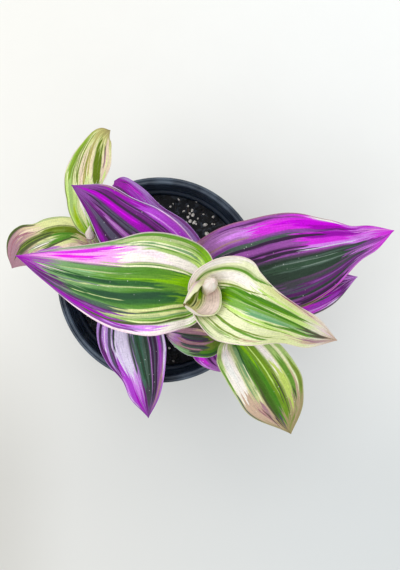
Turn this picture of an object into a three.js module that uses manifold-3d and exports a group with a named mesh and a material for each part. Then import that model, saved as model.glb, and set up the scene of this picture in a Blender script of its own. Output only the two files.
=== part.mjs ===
// Potted tradescantia: a round nursery pot full of soil, with three leafy shoots rooted in it.
// Millimetres, +Z up. The origin is the middle of the pot's foot, on the ground.
import * as THREE from "three";
import { mergeVertices } from "three/addons/utils/BufferGeometryUtils.js";
import Module from "manifold-3d";

const wasm = await Module();
wasm.setup();

// Pot
const POT_HEIGHT = 88;
const RIM_RADIUS = 51;
const RIM_DEPTH = 8;
const RIM_BAND = 0.9;
const LIP_THICKNESS = 1.6;
const LIP_ROUND = 0.8;
const WALL = 1.2;
const COLLAR_TOP_RADIUS = 47.5;
const COLLAR_FOOT_RADIUS = 45.8;
const LEDGE_HEIGHT = 76;
const LEDGE_RADIUS = 44.4;
const LEDGE_DROP = 1;
const FLOOR_RADIUS = 36.3;
const FLOOR_UNDERSIDE = 2;
const FLOOR_TOP = 3.4;
const FOOT_RING_WIDTH = 3;
const FOOT_DRAFT = 0.5;
const CENTRE_PAD_RADIUS = 8;
const DRAIN_HOLES = 6;
const DRAIN_RADIUS = 3.5;
const DRAIN_CIRCLE = 24;
const DRAIN_SIDES = 16;
const FOOT_NOTCHES = 4;
const FOOT_NOTCH_WIDTH = 8;
const FOOT_NOTCH_DEPTH = 1.6;
const POT_SEGMENTS = 44;
const POT_COLOUR = 0x1b2028;
const POT_ROUGHNESS = 0.4;

// Soil
const SOIL_LEVEL = 72;
const SOIL_RINGS = 10;
const SOIL_SEGMENTS = 36;
const SOIL_LUMP = 0.6;
const PERLITE_GRAINS = 44;
const PERLITE_RADIUS = [0.8, 1.5];
const SOIL_CRUMBS = 20;
const CRUMB_RADIUS = [1.3, 2.4];
const CRUMB_MARGIN = 3;
const CRUMB_LIFT = 0.1;
const SEED = 7;
const SOIL_COLOUR = 0x2a211b;
const SOIL_ROUGHNESS = 0.95;

// Fits
const GAP = 0.3;
const BLADE_CLEARANCE = 0.4;
const LARGEST_SCRAP = 5;
const SHORTEST_EDGE = 0.015;

// Stems and sheaths
const STEM_SIDES = 8;
const STEM_STEP = 3;
const STEM_ROUGHNESS = 0.5;
const NODE_SWELLING = 0.16;
const NODE_SPREAD = 1.7;
const SHEATH_WALL = 0.8;
const SHEATH_LIP = 1;

// Leaves
const BLADE_THICKNESS = 0.8;
const BLADE_TIP = 0.3;
const CURL_LIMIT = 160;
const BLADE_ROWS = 12;
const BLADE_COLUMNS = 6;
const BASE_CROWDING = 1.25;
const BUD_SIDES = 10;
const BUD_STEPS = 7;
const LEAF_ROUGHNESS = 0.45;

// Each shoot: its stem's path and radii, then its leaves from the soil upward, then its rolled bud.
// A leaf's stations run from its base to its tip, evenly spaced, each of them
// [x, y, z, left half-width, right half-width].
// fold is the angle of each half above the flat, curl how far a half turns up from midrib to margin,
// both in degrees. roll turns the blade's cross rows about its midrib, positive where the left half rises.
// clasp turns the base further round the stem, over the share claspLength of the blade.
// lobe is how far the base lobes reach back, over the share lobeLength of the blade.
// rounding is the share of the blade over which the base rounds off.
const SHOOTS = [
  {
    name: "main",
    path: [[8, -3, 60], [14, -4, 80], [19, -4.5, 100], [21.5, -4.8, 125], [22.5, -5, 156]],
    radius: [2.5, 2.3, 2.3, 2.1, 1.5],
    stemColour: 0x8f9a55,
    leaves: [
      {
        sheath: 7,
        stations: [
          [17, -2.5, 99, 8, 8], [14.5, 10.5, 107, 8.5, 9.2], [5.5, 20.5, 111, 9.5, 10.4],
          [-3, 29.5, 112, 9.5, 7.4], [-11, 37, 108, 9, 7.5], [-18, 43.5, 99, 6.5, 6.5],
          [-23, 47, 90, 2, 2],
        ],
        fold: [12, 10, 6],
        curl: [10, 25, 40],
        colour: 0xb04fc4,
      },
      {
        sheath: 6,
        stations: [
          [22.5, -5, 107, 8, 8], [34.5, -7.5, 114, 10.5, 10.5], [46.5, -8.5, 116, 13, 12.5],
          [59, -8, 115, 13, 12], [72, -6, 111, 10.5, 10.5], [84.5, -2, 105, 6.5, 7],
          [96, 1.5, 98, 0, 0],
        ],
        fold: [14, 10, 6],
        curl: [-10, -20, -20],
        colour: 0xa52fae,
      },
      {
        sheath: 6.5,
        stations: [
          [19, -2.5, 116, 7.5, 7.5], [11.5, 5, 123, 12, 11.5], [2.5, 12, 128, 15.5, 15],
          [-7.5, 19.5, 129, 15.5, 15], [-17.5, 27.5, 126, 13, 11.7], [-28.5, 35.5, 121, 6, 9.6],
          [-40, 44, 114, 0, 0],
        ],
        fold: [14, 10, 6],
        curl: [-5, -10, -10],
        colour: 0x7d2d8c,
      },
      {
        sheath: 6,
        stations: [
          [24.5, -4, 124, 20.5, 14], [31.5, -1, 129, 22, 15.5], [38.5, 2, 133, 23, 17.5],
          [46.5, 4, 134.5, 23, 20], [55, 6.5, 135, 22.5, 21], [64, 8.5, 134, 21.5, 20],
          [72.5, 10.5, 132, 18.5, 17], [81, 13, 128.5, 14.3, 13], [90.5, 15.5, 124, 9.4, 7.2],
          [100, 19, 118, 6.2, 5.2], [110.5, 23, 112, 0, 0],
        ],
        fold: [14, 10, 6],
        curl: [-10, -16, -10],
        lobe: 5,
        claspLength: 0.1,
        colour: 0x5c3a66,
      },
      {
        sheath: 8,
        stations: [
          [19.5, -4.5, 142, 15, 15], [10.5, -2.5, 149, 19.5, 20], [-1, -1.5, 152, 22.5, 21.5],
          [-14.5, -1, 151, 20.5, 18.5], [-29.5, 1.5, 147, 14.5, 14], [-45, 5.5, 141, 7.5, 8],
          [-62, 10.5, 132, 0, 0],
        ],
        fold: [12, 8, 4],
        curl: [-10, -18, -12],
        lobe: 4,
        claspLength: 0.1,
        colour: 0x5f8f4a,
      },
      {
        sheath: 2.4,
        stations: [
          [25.5, -6, 146, 15, 19.5], [31.5, -8, 158, 22, 18.5], [38.5, -11, 161, 15.5, 17],
          [48, -14.5, 158, 10.5, 14], [58, -18.5, 151, 8, 9.5], [69, -23, 142, 6.5, 7],
          [80.5, -27, 133, 0, 0],
        ],
        fold: [6, 10, 6],
        curl: [10, -16, -10],
        roll: [24, 8, 2, 0],
        clasp: 190,
        claspLength: 0.3,
        lobeLength: 0.3,
        rounding: 0.08,
        rows: 18,
        columns: 8,
        colour: 0xc9cf9a,
      },
      {
        sheath: 4.2,
        stations: [
          [19.5, 0, 153, 10.5, 7.5], [16.8, -4.1, 158.5, 15.1, 6.8], [15, -8, 163, 14.2, 6.5],
          [14.1, -9.7, 166.5, 7.5, 3.1], [13.8, -10.4, 169.5, 0, 0],
        ],
        fold: [10, 10, 10],
        curl: [85, 60, 68],
        roll: [-50, -60],
        clasp: 60,
        claspLength: 1,
        lobe: 0,
        rows: 10,
        columns: 8,
        colour: 0xd9cdb4,
      },
    ],
    bud: {
      path: [[22.4, -5, 153.6], [23.4, -3.4, 161], [24.3, -1.9, 168.5]],
      radius: [2.1, 2.4, 2.7, 3, 2.8, 1],
      colour: 0xe3d3cf,
    },
  },
  {
    name: "left",
    path: [
      [-12, -6, 58], [-12.5, -6, 72], [-14.5, -4, 84], [-21, 5, 92], [-28, 14.5, 96], [-31, 18, 99],
      [-32.8, 21, 104],
    ],
    radius: [2.3, 2.2, 2.1, 2, 1.7, 1.5, 1.3],
    stemColour: 0x9a8f5e,
    leaves: [
      {
        sheath: 6,
        stations: [
          [-15.5, -4.5, 86, 8.5, 8.5], [-14, -16, 96, 13.5, 14], [-14, -25.5, 100, 16, 16],
          [-12.5, -36, 101, 16.5, 13.5], [-10, -47.5, 98, 13, 8], [-8, -58, 92, 8.5, 6],
          [-6, -69, 84, 0, 0],
        ],
        fold: [16, 12, 8],
        curl: [-10, -20, -20],
        colour: 0x6d4a86,
      },
      {
        sheath: 3.4,
        stations: [
          [-32, 17, 97, 4.5, 4.5], [-36.2, 20.3, 99.7, 6.4, 5.8], [-40.5, 22.5, 101.3, 7.9, 6.8],
          [-45, 23, 101.3, 8.8, 7.4], [-49.6, 22.8, 100.2, 9.3, 7.5], [-54.5, 22, 98, 9.5, 7.3],
          [-59.6, 20.8, 94.6, 9.9, 6.9], [-64.6, 18.7, 90.7, 10.1, 9.1], [-69.1, 15.7, 86.5, 10.2, 8.9],
          [-72.8, 11.5, 81.9, 7.4, 5.8], [-75.8, 6, 77, 0, 0],
        ],
        fold: [16, 12, 8],
        curl: [-10, -20, -20],
        lobe: 1,
        colour: 0x97a067,
      },
      {
        sheath: 2.6,
        stations: [
          [-32.5, 22, 101.5, 4.5, 4.5], [-35.9, 28.1, 103.1, 4.7, 6], [-37.8, 33.8, 104.3, 5.2, 7.5],
          [-37.6, 38.8, 104.9, 6.2, 9.1], [-37.3, 43.9, 105.1, 7.4, 10.2], [-36.5, 49, 105, 8.2, 10.8],
          [-34.9, 53.8, 104.5, 7.8, 11.3], [-32.5, 59.2, 103.5, 7.3, 10.8], [-29.3, 65.8, 102, 5.8, 7.6],
          [-26.5, 70, 100.5, 4, 4.8], [-23.5, 72.2, 99, 0, 0],
        ],
        fold: [16, 12, 8],
        curl: [-10, -20, -20],
        lobe: 1,
        colour: 0xa9b06a,
      },
    ],
    bud: {
      path: [[-32.6, 20.8, 103.2], [-33, 22.6, 105.5], [-33.3, 24.8, 109]],
      radius: [1.9, 2, 1.5, 0.4],
      colour: 0xdcc9b8,
    },
  },
  {
    name: "front",
    path: [
      [17, -12, 58], [18, -13, 72], [23, -17.5, 84], [30.5, -24.5, 96], [33.5, -27, 103],
      [34, -27.5, 108.5],
    ],
    radius: [2.3, 2.2, 2.1, 1.9, 1.7, 1.4],
    stemColour: 0x8f9a55,
    leaves: [
      {
        sheath: 5.5,
        stations: [
          [25, -22.5, 87.5, 4.5, 4.5], [25, -25.5, 94, 7.5, 8], [24.5, -31, 97, 9, 10],
          [25.5, -36.5, 97, 8, 8.4], [28.5, -41, 95, 5, 4.2], [35.5, -46.5, 91, 0, 0],
        ],
        fold: [12, 8, 4],
        curl: [-10, -20, -20],
        lobe: 1,
        colour: 0xb44ab8,
      },
      {
        sheath: 5,
        stations: [
          [29, -26.5, 98, 4.5, 4.5], [25, -27.5, 103, 9, 9], [20, -27.5, 105, 9.5, 10],
          [14.5, -27.5, 105, 8.5, 8.5], [9.5, -27, 103, 6, 6], [2, -25, 97, 0, 0],
        ],
        fold: [12, 8, 4],
        curl: [-10, -20, -20],
        lobe: 1,
        colour: 0x6f7a62,
      },
      {
        sheath: 4.5,
        stations: [
          [34.5, -28.5, 105.5, 8.5, 7], [38, -32.5, 112, 13.5, 12], [42.5, -39.5, 114, 17.5, 13],
          [48, -48.5, 112, 19, 13], [53.5, -57.5, 106, 18, 12.7], [59.5, -67, 97, 12.5, 6.9],
          [65, -76.5, 87, 0, 0],
        ],
        fold: [14, 10, 6],
        curl: [-10, -20, -20],
        claspLength: 0.1,
        colour: 0x93a565,
      },
    ],
    bud: {
      path: [[33.9, -27.4, 107.2], [34.2, -27.8, 111], [34.6, -28.2, 115.5]],
      radius: [1.9, 2, 1.5, 0.4],
      colour: 0xdcd2b0,
    },
  },
];

const LEAF_DEFAULTS = {
  clasp: 60,
  claspLength: 0.15,
  lobe: 2,
  lobeLength: 0.4,
  rounding: 0.1,
  roll: [0, 0],
  rows: BLADE_ROWS,
  columns: BLADE_COLUMNS,
};

// A closed three.js geometry as a manifold-3d solid, with its shared vertices merged.
function solidOf(geometry) {
  const bare = new THREE.BufferGeometry();
  bare.setAttribute("position", geometry.getAttribute("position"));
  bare.setIndex(geometry.index);
  const merged = mergeVertices(bare, 1e-3);
  const corners = merged.index.array;
  const triVerts = [];
  for (let i = 0; i < corners.length; i += 3) {
    const [a, b, c] = corners.slice(i, i + 3);
    if (a !== b && b !== c && c !== a) triVerts.push(a, b, c);
  }
  const vertProperties = merged.attributes.position.array;
  const mesh = new wasm.Mesh({ numProp: 3, vertProperties, triVerts: new Uint32Array(triVerts) });
  return new wasm.Manifold(mesh);
}

// A manifold-3d solid as a three.js geometry.
function geometryOf(solid) {
  const mesh = solid.getMesh();
  const geometry = new THREE.BufferGeometry();
  geometry.setAttribute("position", new THREE.BufferAttribute(mesh.vertProperties, 3));
  geometry.setIndex(new THREE.BufferAttribute(mesh.triVerts, 1));
  geometry.computeVertexNormals();
  return geometry;
}

// The largest body of a solid, without the tiny edges that cuts leave. Scraps beside it are dropped.
function largestBody(solid) {
  const bodies = solid.simplify(SHORTEST_EDGE).decompose();
  bodies.sort((a, b) => b.volume() - a.volume());
  if (bodies.length > 1 && bodies[1].volume() > LARGEST_SCRAP) {
    throw new Error("a cut splits a solid and leaves " + bodies[1].volume() + " cubic mm beside it");
  }
  return bodies[0];
}

// A surface of revolution about +Z. The profile of [radius, height] points starts and ends on the axis.
function revolve(profile, segments) {
  const points = profile.map(([radius, height]) => new THREE.Vector2(radius, height));
  const geometry = new THREE.LatheGeometry(points, segments);
  geometry.rotateX(Math.PI / 2);
  return geometry;
}

// A uniform Catmull-Rom curve through evenly spaced values, with both ends carried on straight.
function through(values, t) {
  const last = values.length - 1;
  const place = THREE.MathUtils.clamp(t, 0, 1) * last;
  const i = Math.min(Math.floor(place), last - 1);
  const f = place - i;
  const before = i > 0 ? values[i - 1] : 2 * values[0] - values[1];
  const after = i + 2 <= last ? values[i + 2] : 2 * values[last] - values[last - 1];
  const [a, b] = [values[i], values[i + 1]];
  const square = (2 * before - 5 * a + 4 * b - after) * f * f;
  const cube = (3 * a - before - 3 * b + after) * f * f * f;
  return (2 * a + (b - before) * f + square + cube) / 2;
}

// The same curve through rows of several numbers.
function throughRows(rows, t) {
  return rows[0].map((_, column) => through(rows.map((row) => row[column]), t));
}

// A smooth space curve through points.
function curveThrough(points) {
  const vectors = points.map((point) => new THREE.Vector3(...point));
  return new THREE.CatmullRomCurve3(vectors, false, "catmullrom");
}

// A closed tube along part of a path, from parameter t0 to t1. radiusAt gives its radius at a parameter.
function tube(path, t0, t1, radiusAt, sides, steps) {
  const positions = [];
  const index = [];
  const reference = new THREE.Vector3(0, 1, 0);
  for (let i = 0; i <= steps; i++) {
    const t = t0 + ((t1 - t0) * i) / steps;
    const along = path.getTangent(t);
    const across = reference.clone().projectOnPlane(along).normalize();
    const third = along.clone().cross(across);
    const centre = path.getPoint(t);
    for (let k = 0; k < sides; k++) {
      const angle = (2 * Math.PI * k) / sides;
      const point = centre.clone();
      point.addScaledVector(across, radiusAt(t) * Math.cos(angle));
      point.addScaledVector(third, radiusAt(t) * Math.sin(angle));
      positions.push(...point.toArray());
    }
  }
  for (let i = 0; i < steps; i++) {
    for (let k = 0; k < sides; k++) {
      const [a, b] = [i * sides + k, i * sides + ((k + 1) % sides)];
      index.push(a, b, b + sides, a, b + sides, a + sides);
    }
  }
  const end = steps * sides;
  for (let k = 1; k < sides - 1; k++) {
    index.push(0, k + 1, k);
    index.push(end, end + k, end + k + 1);
  }
  const geometry = new THREE.BufferGeometry();
  geometry.setAttribute("position", new THREE.Float32BufferAttribute(positions, 3));
  geometry.setIndex(index);
  return geometry;
}

// The parameter at which a path that climbs all the way reaches a height.
function parameterAtHeight(path, height) {
  let [low, high] = [0, 1];
  for (let i = 0; i < 30; i++) {
    const middle = (low + high) / 2;
    if (path.getPoint(middle).z < height) low = middle;
    else high = middle;
  }
  return (low + high) / 2;
}

// Pot: lip with a turned-down band, collar, stacking ledge, tapered wall, raised floor with drain holes,
// notched foot ring and centre pad.
function makePot() {
  const footOuter = FLOOR_RADIUS + WALL;
  const footInner = footOuter - FOOT_RING_WIDTH;
  const lipUnderside = POT_HEIGHT - LIP_THICKNESS;
  const bandInner = RIM_RADIUS - RIM_BAND;
  const bandFoot = POT_HEIGHT - RIM_DEPTH;
  const profile = [
    [0, 0],
    [CENTRE_PAD_RADIUS, 0],
    [CENTRE_PAD_RADIUS + FOOT_DRAFT, FLOOR_UNDERSIDE],
    [footInner - FOOT_DRAFT, FLOOR_UNDERSIDE],
    [footInner, 0],
    [footOuter, 0],
    [LEDGE_RADIUS + WALL, LEDGE_HEIGHT - WALL],
    [COLLAR_FOOT_RADIUS + WALL, LEDGE_HEIGHT],
    [COLLAR_TOP_RADIUS + WALL, lipUnderside],
    [bandInner, lipUnderside],
    [bandInner, bandFoot],
    [RIM_RADIUS, bandFoot],
    [RIM_RADIUS, POT_HEIGHT - LIP_ROUND],
    [RIM_RADIUS - LIP_ROUND, POT_HEIGHT],
    [COLLAR_TOP_RADIUS + LIP_ROUND, POT_HEIGHT],
    [COLLAR_TOP_RADIUS, POT_HEIGHT - LIP_ROUND],
    [COLLAR_FOOT_RADIUS, LEDGE_HEIGHT],
    [LEDGE_RADIUS, LEDGE_HEIGHT - LEDGE_DROP],
    [FLOOR_RADIUS, FLOOR_TOP],
    [0, FLOOR_TOP],
  ];
  let pot = solidOf(revolve(profile, POT_SEGMENTS));
  for (let i = 0; i < DRAIN_HOLES; i++) {
    const angle = (2 * Math.PI * i) / DRAIN_HOLES;
    const drill = new THREE.CylinderGeometry(DRAIN_RADIUS, DRAIN_RADIUS, 4 * FLOOR_TOP, DRAIN_SIDES);
    drill.rotateX(Math.PI / 2);
    drill.translate(DRAIN_CIRCLE * Math.cos(angle), DRAIN_CIRCLE * Math.sin(angle), FLOOR_TOP);
    pot = pot.subtract(solidOf(drill));
  }
  for (let i = 0; i < FOOT_NOTCHES; i++) {
    const notch = new THREE.BoxGeometry(4 * FOOT_RING_WIDTH, FOOT_NOTCH_WIDTH, 2 * FOOT_NOTCH_DEPTH);
    notch.translate(footOuter, 0, 0);
    notch.rotateZ((2 * Math.PI * (i + 0.5)) / FOOT_NOTCHES);
    pot = pot.subtract(solidOf(notch));
  }
  return pot;
}

// Height of the lumpy soil above its level.
function soilRelief(x, y) {
  const broad = Math.sin(0.21 * x + 0.8) * Math.sin(0.19 * y + 1.9);
  const fine = Math.sin(0.83 * x + 0.4 * y) * Math.sin(0.71 * y - 0.3 * x + 1.1);
  return SOIL_LUMP * (broad + fine);
}

// A small seeded generator of numbers from 0 to 1.
function seeded(seed) {
  let state = seed;
  return () => {
    state = (state * 1664525 + 1013904223) % 4294967296;
    return state / 4294967296;
  };
}

// Soil: fills the pot to its level, lumpy on top, with crumbs and perlite grains sunk in it.
function makeSoil(stemCutters) {
  const ledge = LEDGE_HEIGHT - LEDGE_DROP;
  const wallRadius = (height) =>
    THREE.MathUtils.mapLinear(height, FLOOR_TOP, ledge, FLOOR_RADIUS, LEDGE_RADIUS) - GAP;
  const topRadius = wallRadius(SOIL_LEVEL);
  const foot = FLOOR_TOP + GAP;
  const profile = [[0, foot], [wallRadius(foot), foot]];
  for (let i = SOIL_RINGS; i >= 0; i--) profile.push([(topRadius * i) / SOIL_RINGS, SOIL_LEVEL]);
  const geometry = revolve(profile, SOIL_SEGMENTS);
  const place = geometry.getAttribute("position");
  for (let i = 0; i < place.count; i++) {
    const [x, y, z] = [place.getX(i), place.getY(i), place.getZ(i)];
    const inside = 1 - (Math.hypot(x, y) / topRadius) ** 6;
    if (z > foot + 1) place.setZ(i, z + soilRelief(x, y) * Math.max(inside, 0));
  }
  let soil = solidOf(geometry);
  const random = seeded(SEED);
  const grains = [];
  for (let i = 0; i < PERLITE_GRAINS + SOIL_CRUMBS; i++) {
    const [smallest, largest] = i < PERLITE_GRAINS ? PERLITE_RADIUS : CRUMB_RADIUS;
    const radius = THREE.MathUtils.lerp(smallest, largest, random());
    const reach = (topRadius - CRUMB_MARGIN) * Math.sqrt(random());
    const angle = 2 * Math.PI * random();
    const [x, y] = [reach * Math.cos(angle), reach * Math.sin(angle)];
    const grain = new THREE.OctahedronGeometry(radius);
    grain.rotateX(2 * Math.PI * random());
    grain.rotateZ(2 * Math.PI * random());
    grain.translate(x, y, SOIL_LEVEL + soilRelief(x, y) + CRUMB_LIFT * radius);
    grains.push(solidOf(grain));
  }
  soil = wasm.Manifold.union([soil, ...grains]);
  for (const cutter of stemCutters) soil = soil.subtract(cutter);
  return largestBody(soil);
}

// What a shoot's stem needs again and again: its path, its radius there, and its nodes' heights.
function stemOf(shoot) {
  const path = curveThrough(shoot.path);
  const nodes = shoot.leaves.map((leaf) => parameterAtHeight(path, leaf.stations[0][2] - leaf.sheath));
  const length = path.getLength();
  const swellingAt = (t) =>
    nodes.reduce((sum, node) => sum + Math.exp(-((((t - node) * length) / NODE_SPREAD) ** 2)), 0);
  const radiusAt = (t) => through(shoot.radius, t) * (1 + NODE_SWELLING * swellingAt(t));
  return { path, radiusAt, length };
}

// The stem itself, or a copy grown by some millimetres to cut its place in what it passes through.
function makeStem(stem, grow = 0) {
  const steps = Math.round(stem.length / STEM_STEP);
  const body = solidOf(tube(stem.path, 0, 1, (t) => stem.radiusAt(t) + grow, STEM_SIDES, steps));
  if (!grow) return body;
  const ends = [0, 1].map((t) => {
    const along = stem.path.getTangent(t).multiplyScalar(grow);
    const end = stem.path.getPoint(t);
    const reach = new THREE.LineCurve3(end.clone().sub(along), end.clone().add(along));
    return solidOf(tube(reach, 0, 1, () => stem.radiusAt(t) + grow, STEM_SIDES, 1));
  });
  return wasm.Manifold.union([body, ...ends]);
}

// The sheath round the stem just under a blade, solid right through, grown a little as a cutter.
function makeSheath(stem, leaf, grow = 0) {
  const base = leaf.stations[0][2];
  const t0 = parameterAtHeight(stem.path, base - leaf.sheath - grow);
  const t1 = parameterAtHeight(stem.path, base + SHEATH_LIP + grow);
  const steps = Math.max(2, Math.round(((t1 - t0) * stem.length) / STEM_STEP));
  const radiusAt = (t) => stem.radiusAt(t) + GAP + SHEATH_WALL + grow;
  return solidOf(tube(stem.path, t0, t1, radiusAt, STEM_SIDES, steps));
}

// One cross row of a blade at v, from 0 at its base to 1 at its tip: where it is, how it folds and curls.
function bladeRow(leaf, v, grow) {
  const [x, y, z, left, right] = throughRows(leaf.stations, v);
  const step = 1e-3;
  const ahead = new THREE.Vector3(...throughRows(leaf.stations, Math.min(v + step, 1)));
  const behind = new THREE.Vector3(...throughRows(leaf.stations, Math.max(v - step, 0)));
  const along = ahead.sub(behind).normalize();
  const roll = THREE.MathUtils.degToRad(through(leaf.roll, v));
  const across = new THREE.Vector3(-along.y, along.x, 0).normalize().applyAxisAngle(along, roll);
  const rounding = Math.sqrt(1 - Math.max(1 - v / leaf.rounding, 0) ** 2);
  const clasping = 1 - THREE.MathUtils.smoothstep(v, 0, leaf.claspLength);
  const curl = Math.min(through(leaf.curl, v) + leaf.clasp * clasping, CURL_LIMIT);
  return {
    middle: new THREE.Vector3(x, y, z),
    along,
    across,
    up: along.clone().cross(across),
    left: Math.max(left * rounding, BLADE_TIP) + grow,
    right: Math.max(right * rounding, BLADE_TIP) + grow,
    fold: THREE.MathUtils.degToRad(through(leaf.fold, v)),
    curl: THREE.MathUtils.degToRad(curl),
    back: leaf.lobe * Math.max(1 - v / leaf.lobeLength, 0) ** 2 * rounding,
  };
}

// A point of the blade's upper face in a cross row, at u from -1, the right margin, to 1, the left one.
// Each half of the row is an arc that starts at the fold angle and turns through the curl angle.
function bladePoint(row, u) {
  const reach = Math.abs(u);
  const half = u > 0 ? row.left : row.right;
  const turn = Math.abs(row.curl) < 1e-3 ? 1e-3 : row.curl;
  const angle = row.fold + turn * reach;
  const sideways = (half * (Math.sin(angle) - Math.sin(row.fold))) / turn;
  const lift = (half * (Math.cos(row.fold) - Math.cos(angle))) / turn;
  return row.middle
    .clone()
    .addScaledVector(row.across, sideways * Math.sign(u))
    .addScaledVector(row.up, lift)
    .addScaledVector(row.along, -row.back * reach * reach);
}

// The way the arc of a cross row faces at u.
function rowNormal(row, u) {
  const angle = (row.fold + row.curl * Math.abs(u)) * Math.sign(u);
  return row.up.clone().multiplyScalar(Math.cos(angle)).addScaledVector(row.across, -Math.sin(angle));
}

// A blade as a closed sheet. Its under face is its upper one moved back along the surface's normal.
// grow moves both faces outward, to cut clearance in a leaf that it would touch.
function makeBlade(leaf, grow = 0) {
  const { rows, columns } = leaf;
  const upper = [];
  const facing = [];
  for (let i = 0; i <= rows; i++) {
    const row = bladeRow(leaf, (i / rows) ** BASE_CROWDING, grow);
    for (let j = 0; j <= columns; j++) {
      const u = (2 * j) / columns - 1;
      upper.push(bladePoint(row, u));
      facing.push(rowNormal(row, u));
    }
  }
  const at = (i, j) => i * (columns + 1) + j;
  const normals = upper.map((_, n) => {
    const [i, j] = [Math.floor(n / (columns + 1)), n % (columns + 1)];
    if (i === 0 || i === rows) return facing[n];
    const rowWise = upper[at(i, Math.min(j + 1, columns))].clone().sub(upper[at(i, Math.max(j - 1, 0))]);
    return upper[at(i + 1, j)].clone().sub(upper[at(i - 1, j)]).cross(rowWise).normalize();
  });
  const layer = (offset) =>
    upper.flatMap((point, n) => point.clone().addScaledVector(normals[n], offset).toArray());
  const positions = [...layer(grow), ...layer(-BLADE_THICKNESS - grow)];
  const under = upper.length;
  const index = [];
  for (let i = 0; i < rows; i++) {
    for (let j = 0; j < columns; j++) {
      const [a, b, c, d] = [at(i, j), at(i + 1, j), at(i + 1, j + 1), at(i, j + 1)];
      index.push(a, b, c, a, c, d);
      index.push(a + under, c + under, b + under, a + under, d + under, c + under);
    }
    const [l, ll] = [at(i, columns), at(i + 1, columns)];
    const [r, rr] = [at(i, 0), at(i + 1, 0)];
    index.push(l, ll, ll + under, l, ll + under, l + under);
    index.push(r, rr + under, rr, r, r + under, rr + under);
  }
  for (let j = 0; j < columns; j++) {
    const [a, d] = [at(0, j), at(0, j + 1)];
    const [b, c] = [at(rows, j), at(rows, j + 1)];
    index.push(a, d, d + under, a, d + under, a + under);
    index.push(b, c + under, c, b, b + under, c + under);
  }
  const geometry = new THREE.BufferGeometry();
  geometry.setAttribute("position", new THREE.Float32BufferAttribute(positions, 3));
  geometry.setIndex(index);
  return solidOf(geometry);
}

// A leaf: its blade and sheath in one, bored for the stem, cut clear of the leaves and the bud above it.
function makeLeaf(stem, leaf, above, stemCutter, budCutter) {
  let solid = makeBlade(leaf).add(makeSheath(stem, leaf)).subtract(stemCutter).subtract(budCutter);
  for (const other of above) {
    solid = solid.subtract(makeSheath(stem, other, GAP));
    solid = solid.subtract(makeBlade(other, BLADE_CLEARANCE));
  }
  return largestBody(solid);
}

// A rolled young leaf at the end of a shoot, a rounded closed cone over the stem's end.
function makeBud(bud, grow = 0) {
  const radiusAt = (t) => through(bud.radius, t) + grow;
  return solidOf(tube(curveThrough(bud.path), 0, 1, radiusAt, BUD_SIDES, BUD_STEPS));
}

function makeMesh(name, solid, colour, roughness) {
  const material = new THREE.MeshStandardMaterial({ color: colour, roughness, metalness: 0 });
  const mesh = new THREE.Mesh(geometryOf(solid), material);
  mesh.name = name;
  return mesh;
}

const plant = new THREE.Group();
const stemCutters = [];
for (const shoot of SHOOTS) {
  const group = new THREE.Group();
  const stem = stemOf(shoot);
  const stemCutter = makeStem(stem, GAP);
  const budCutter = makeBud(shoot.bud, GAP);
  const leaves = shoot.leaves.map((leaf) => ({ ...LEAF_DEFAULTS, ...leaf }));
  stemCutters.push(stemCutter);
  group.add(makeMesh("stem_" + shoot.name, makeStem(stem), shoot.stemColour, STEM_ROUGHNESS));
  leaves.forEach((leaf, i) => {
    const solid = makeLeaf(stem, leaf, leaves.slice(i + 1), stemCutter, budCutter);
    group.add(makeMesh("leaf_" + shoot.name + "_" + (i + 1), solid, leaf.colour, LEAF_ROUGHNESS));
  });
  const bud = largestBody(makeBud(shoot.bud).subtract(stemCutter));
  group.add(makeMesh("bud_" + shoot.name, bud, shoot.bud.colour, LEAF_ROUGHNESS));
  plant.add(group);
}

const potted = new THREE.Group();
potted.add(makeMesh("pot", makePot(), POT_COLOUR, POT_ROUGHNESS));
potted.add(makeMesh("soil", makeSoil(stemCutters), SOIL_COLOUR, SOIL_ROUGHNESS));
potted.add(plant);

export default potted;
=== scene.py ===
"""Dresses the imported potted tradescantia: pot, potting mix, stems, leaves, buds, and a plain stage.

Lengths in the tables are millimetres, as in the part's source, and the mesh code turns them into metres.
"""

import math

import bmesh
import bpy
import numpy as np
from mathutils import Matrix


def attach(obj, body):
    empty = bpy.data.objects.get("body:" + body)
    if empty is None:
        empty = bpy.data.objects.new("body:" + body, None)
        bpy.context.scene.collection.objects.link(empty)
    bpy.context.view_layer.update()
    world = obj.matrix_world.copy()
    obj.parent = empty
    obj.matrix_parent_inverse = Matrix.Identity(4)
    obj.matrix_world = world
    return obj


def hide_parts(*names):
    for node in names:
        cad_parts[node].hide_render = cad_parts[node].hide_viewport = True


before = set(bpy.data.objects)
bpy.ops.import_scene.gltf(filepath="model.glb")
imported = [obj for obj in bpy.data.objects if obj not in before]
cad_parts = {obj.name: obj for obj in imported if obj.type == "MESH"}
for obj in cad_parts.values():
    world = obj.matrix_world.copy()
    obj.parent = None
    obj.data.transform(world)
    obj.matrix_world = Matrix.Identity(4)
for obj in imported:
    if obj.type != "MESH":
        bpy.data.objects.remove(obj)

bl_info = {
    "name": "Potted Tradescantia",
    "version": (1, 0, 0),
    "blender": (4, 5, 0),
    "location": "3D View > Sidebar > Plant",
    "description": "Builds the pot, potting mix, stems, striped leaves and buds of a potted tradescantia",
    "category": "Object",
}

MM = 0.001

# Heights and sizes of the pot, as in the part's source, and how far out the grains lie.
FOOT_RADIUS = 36.3
FLOOR_FOOT = 2.0
FLOOR_TOP = 3.4
LEDGE = 76
DRAIN_HOLES = 6
GRAIN_REACH = 42.5

# How finely the pieces are divided: points round a ring, steps along, and rows and columns of a blade.
SECTOR_POINTS = 48
STALK_SIDES, STALK_STEPS = 32, 160
SHEATH_SIDES, SHEATH_STEPS = 48, 22
BUD_SIDES, BUD_STEPS = 64, 60
BLADE_GRID = (120, 96)
ROW_CROWDING = 1.25

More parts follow.
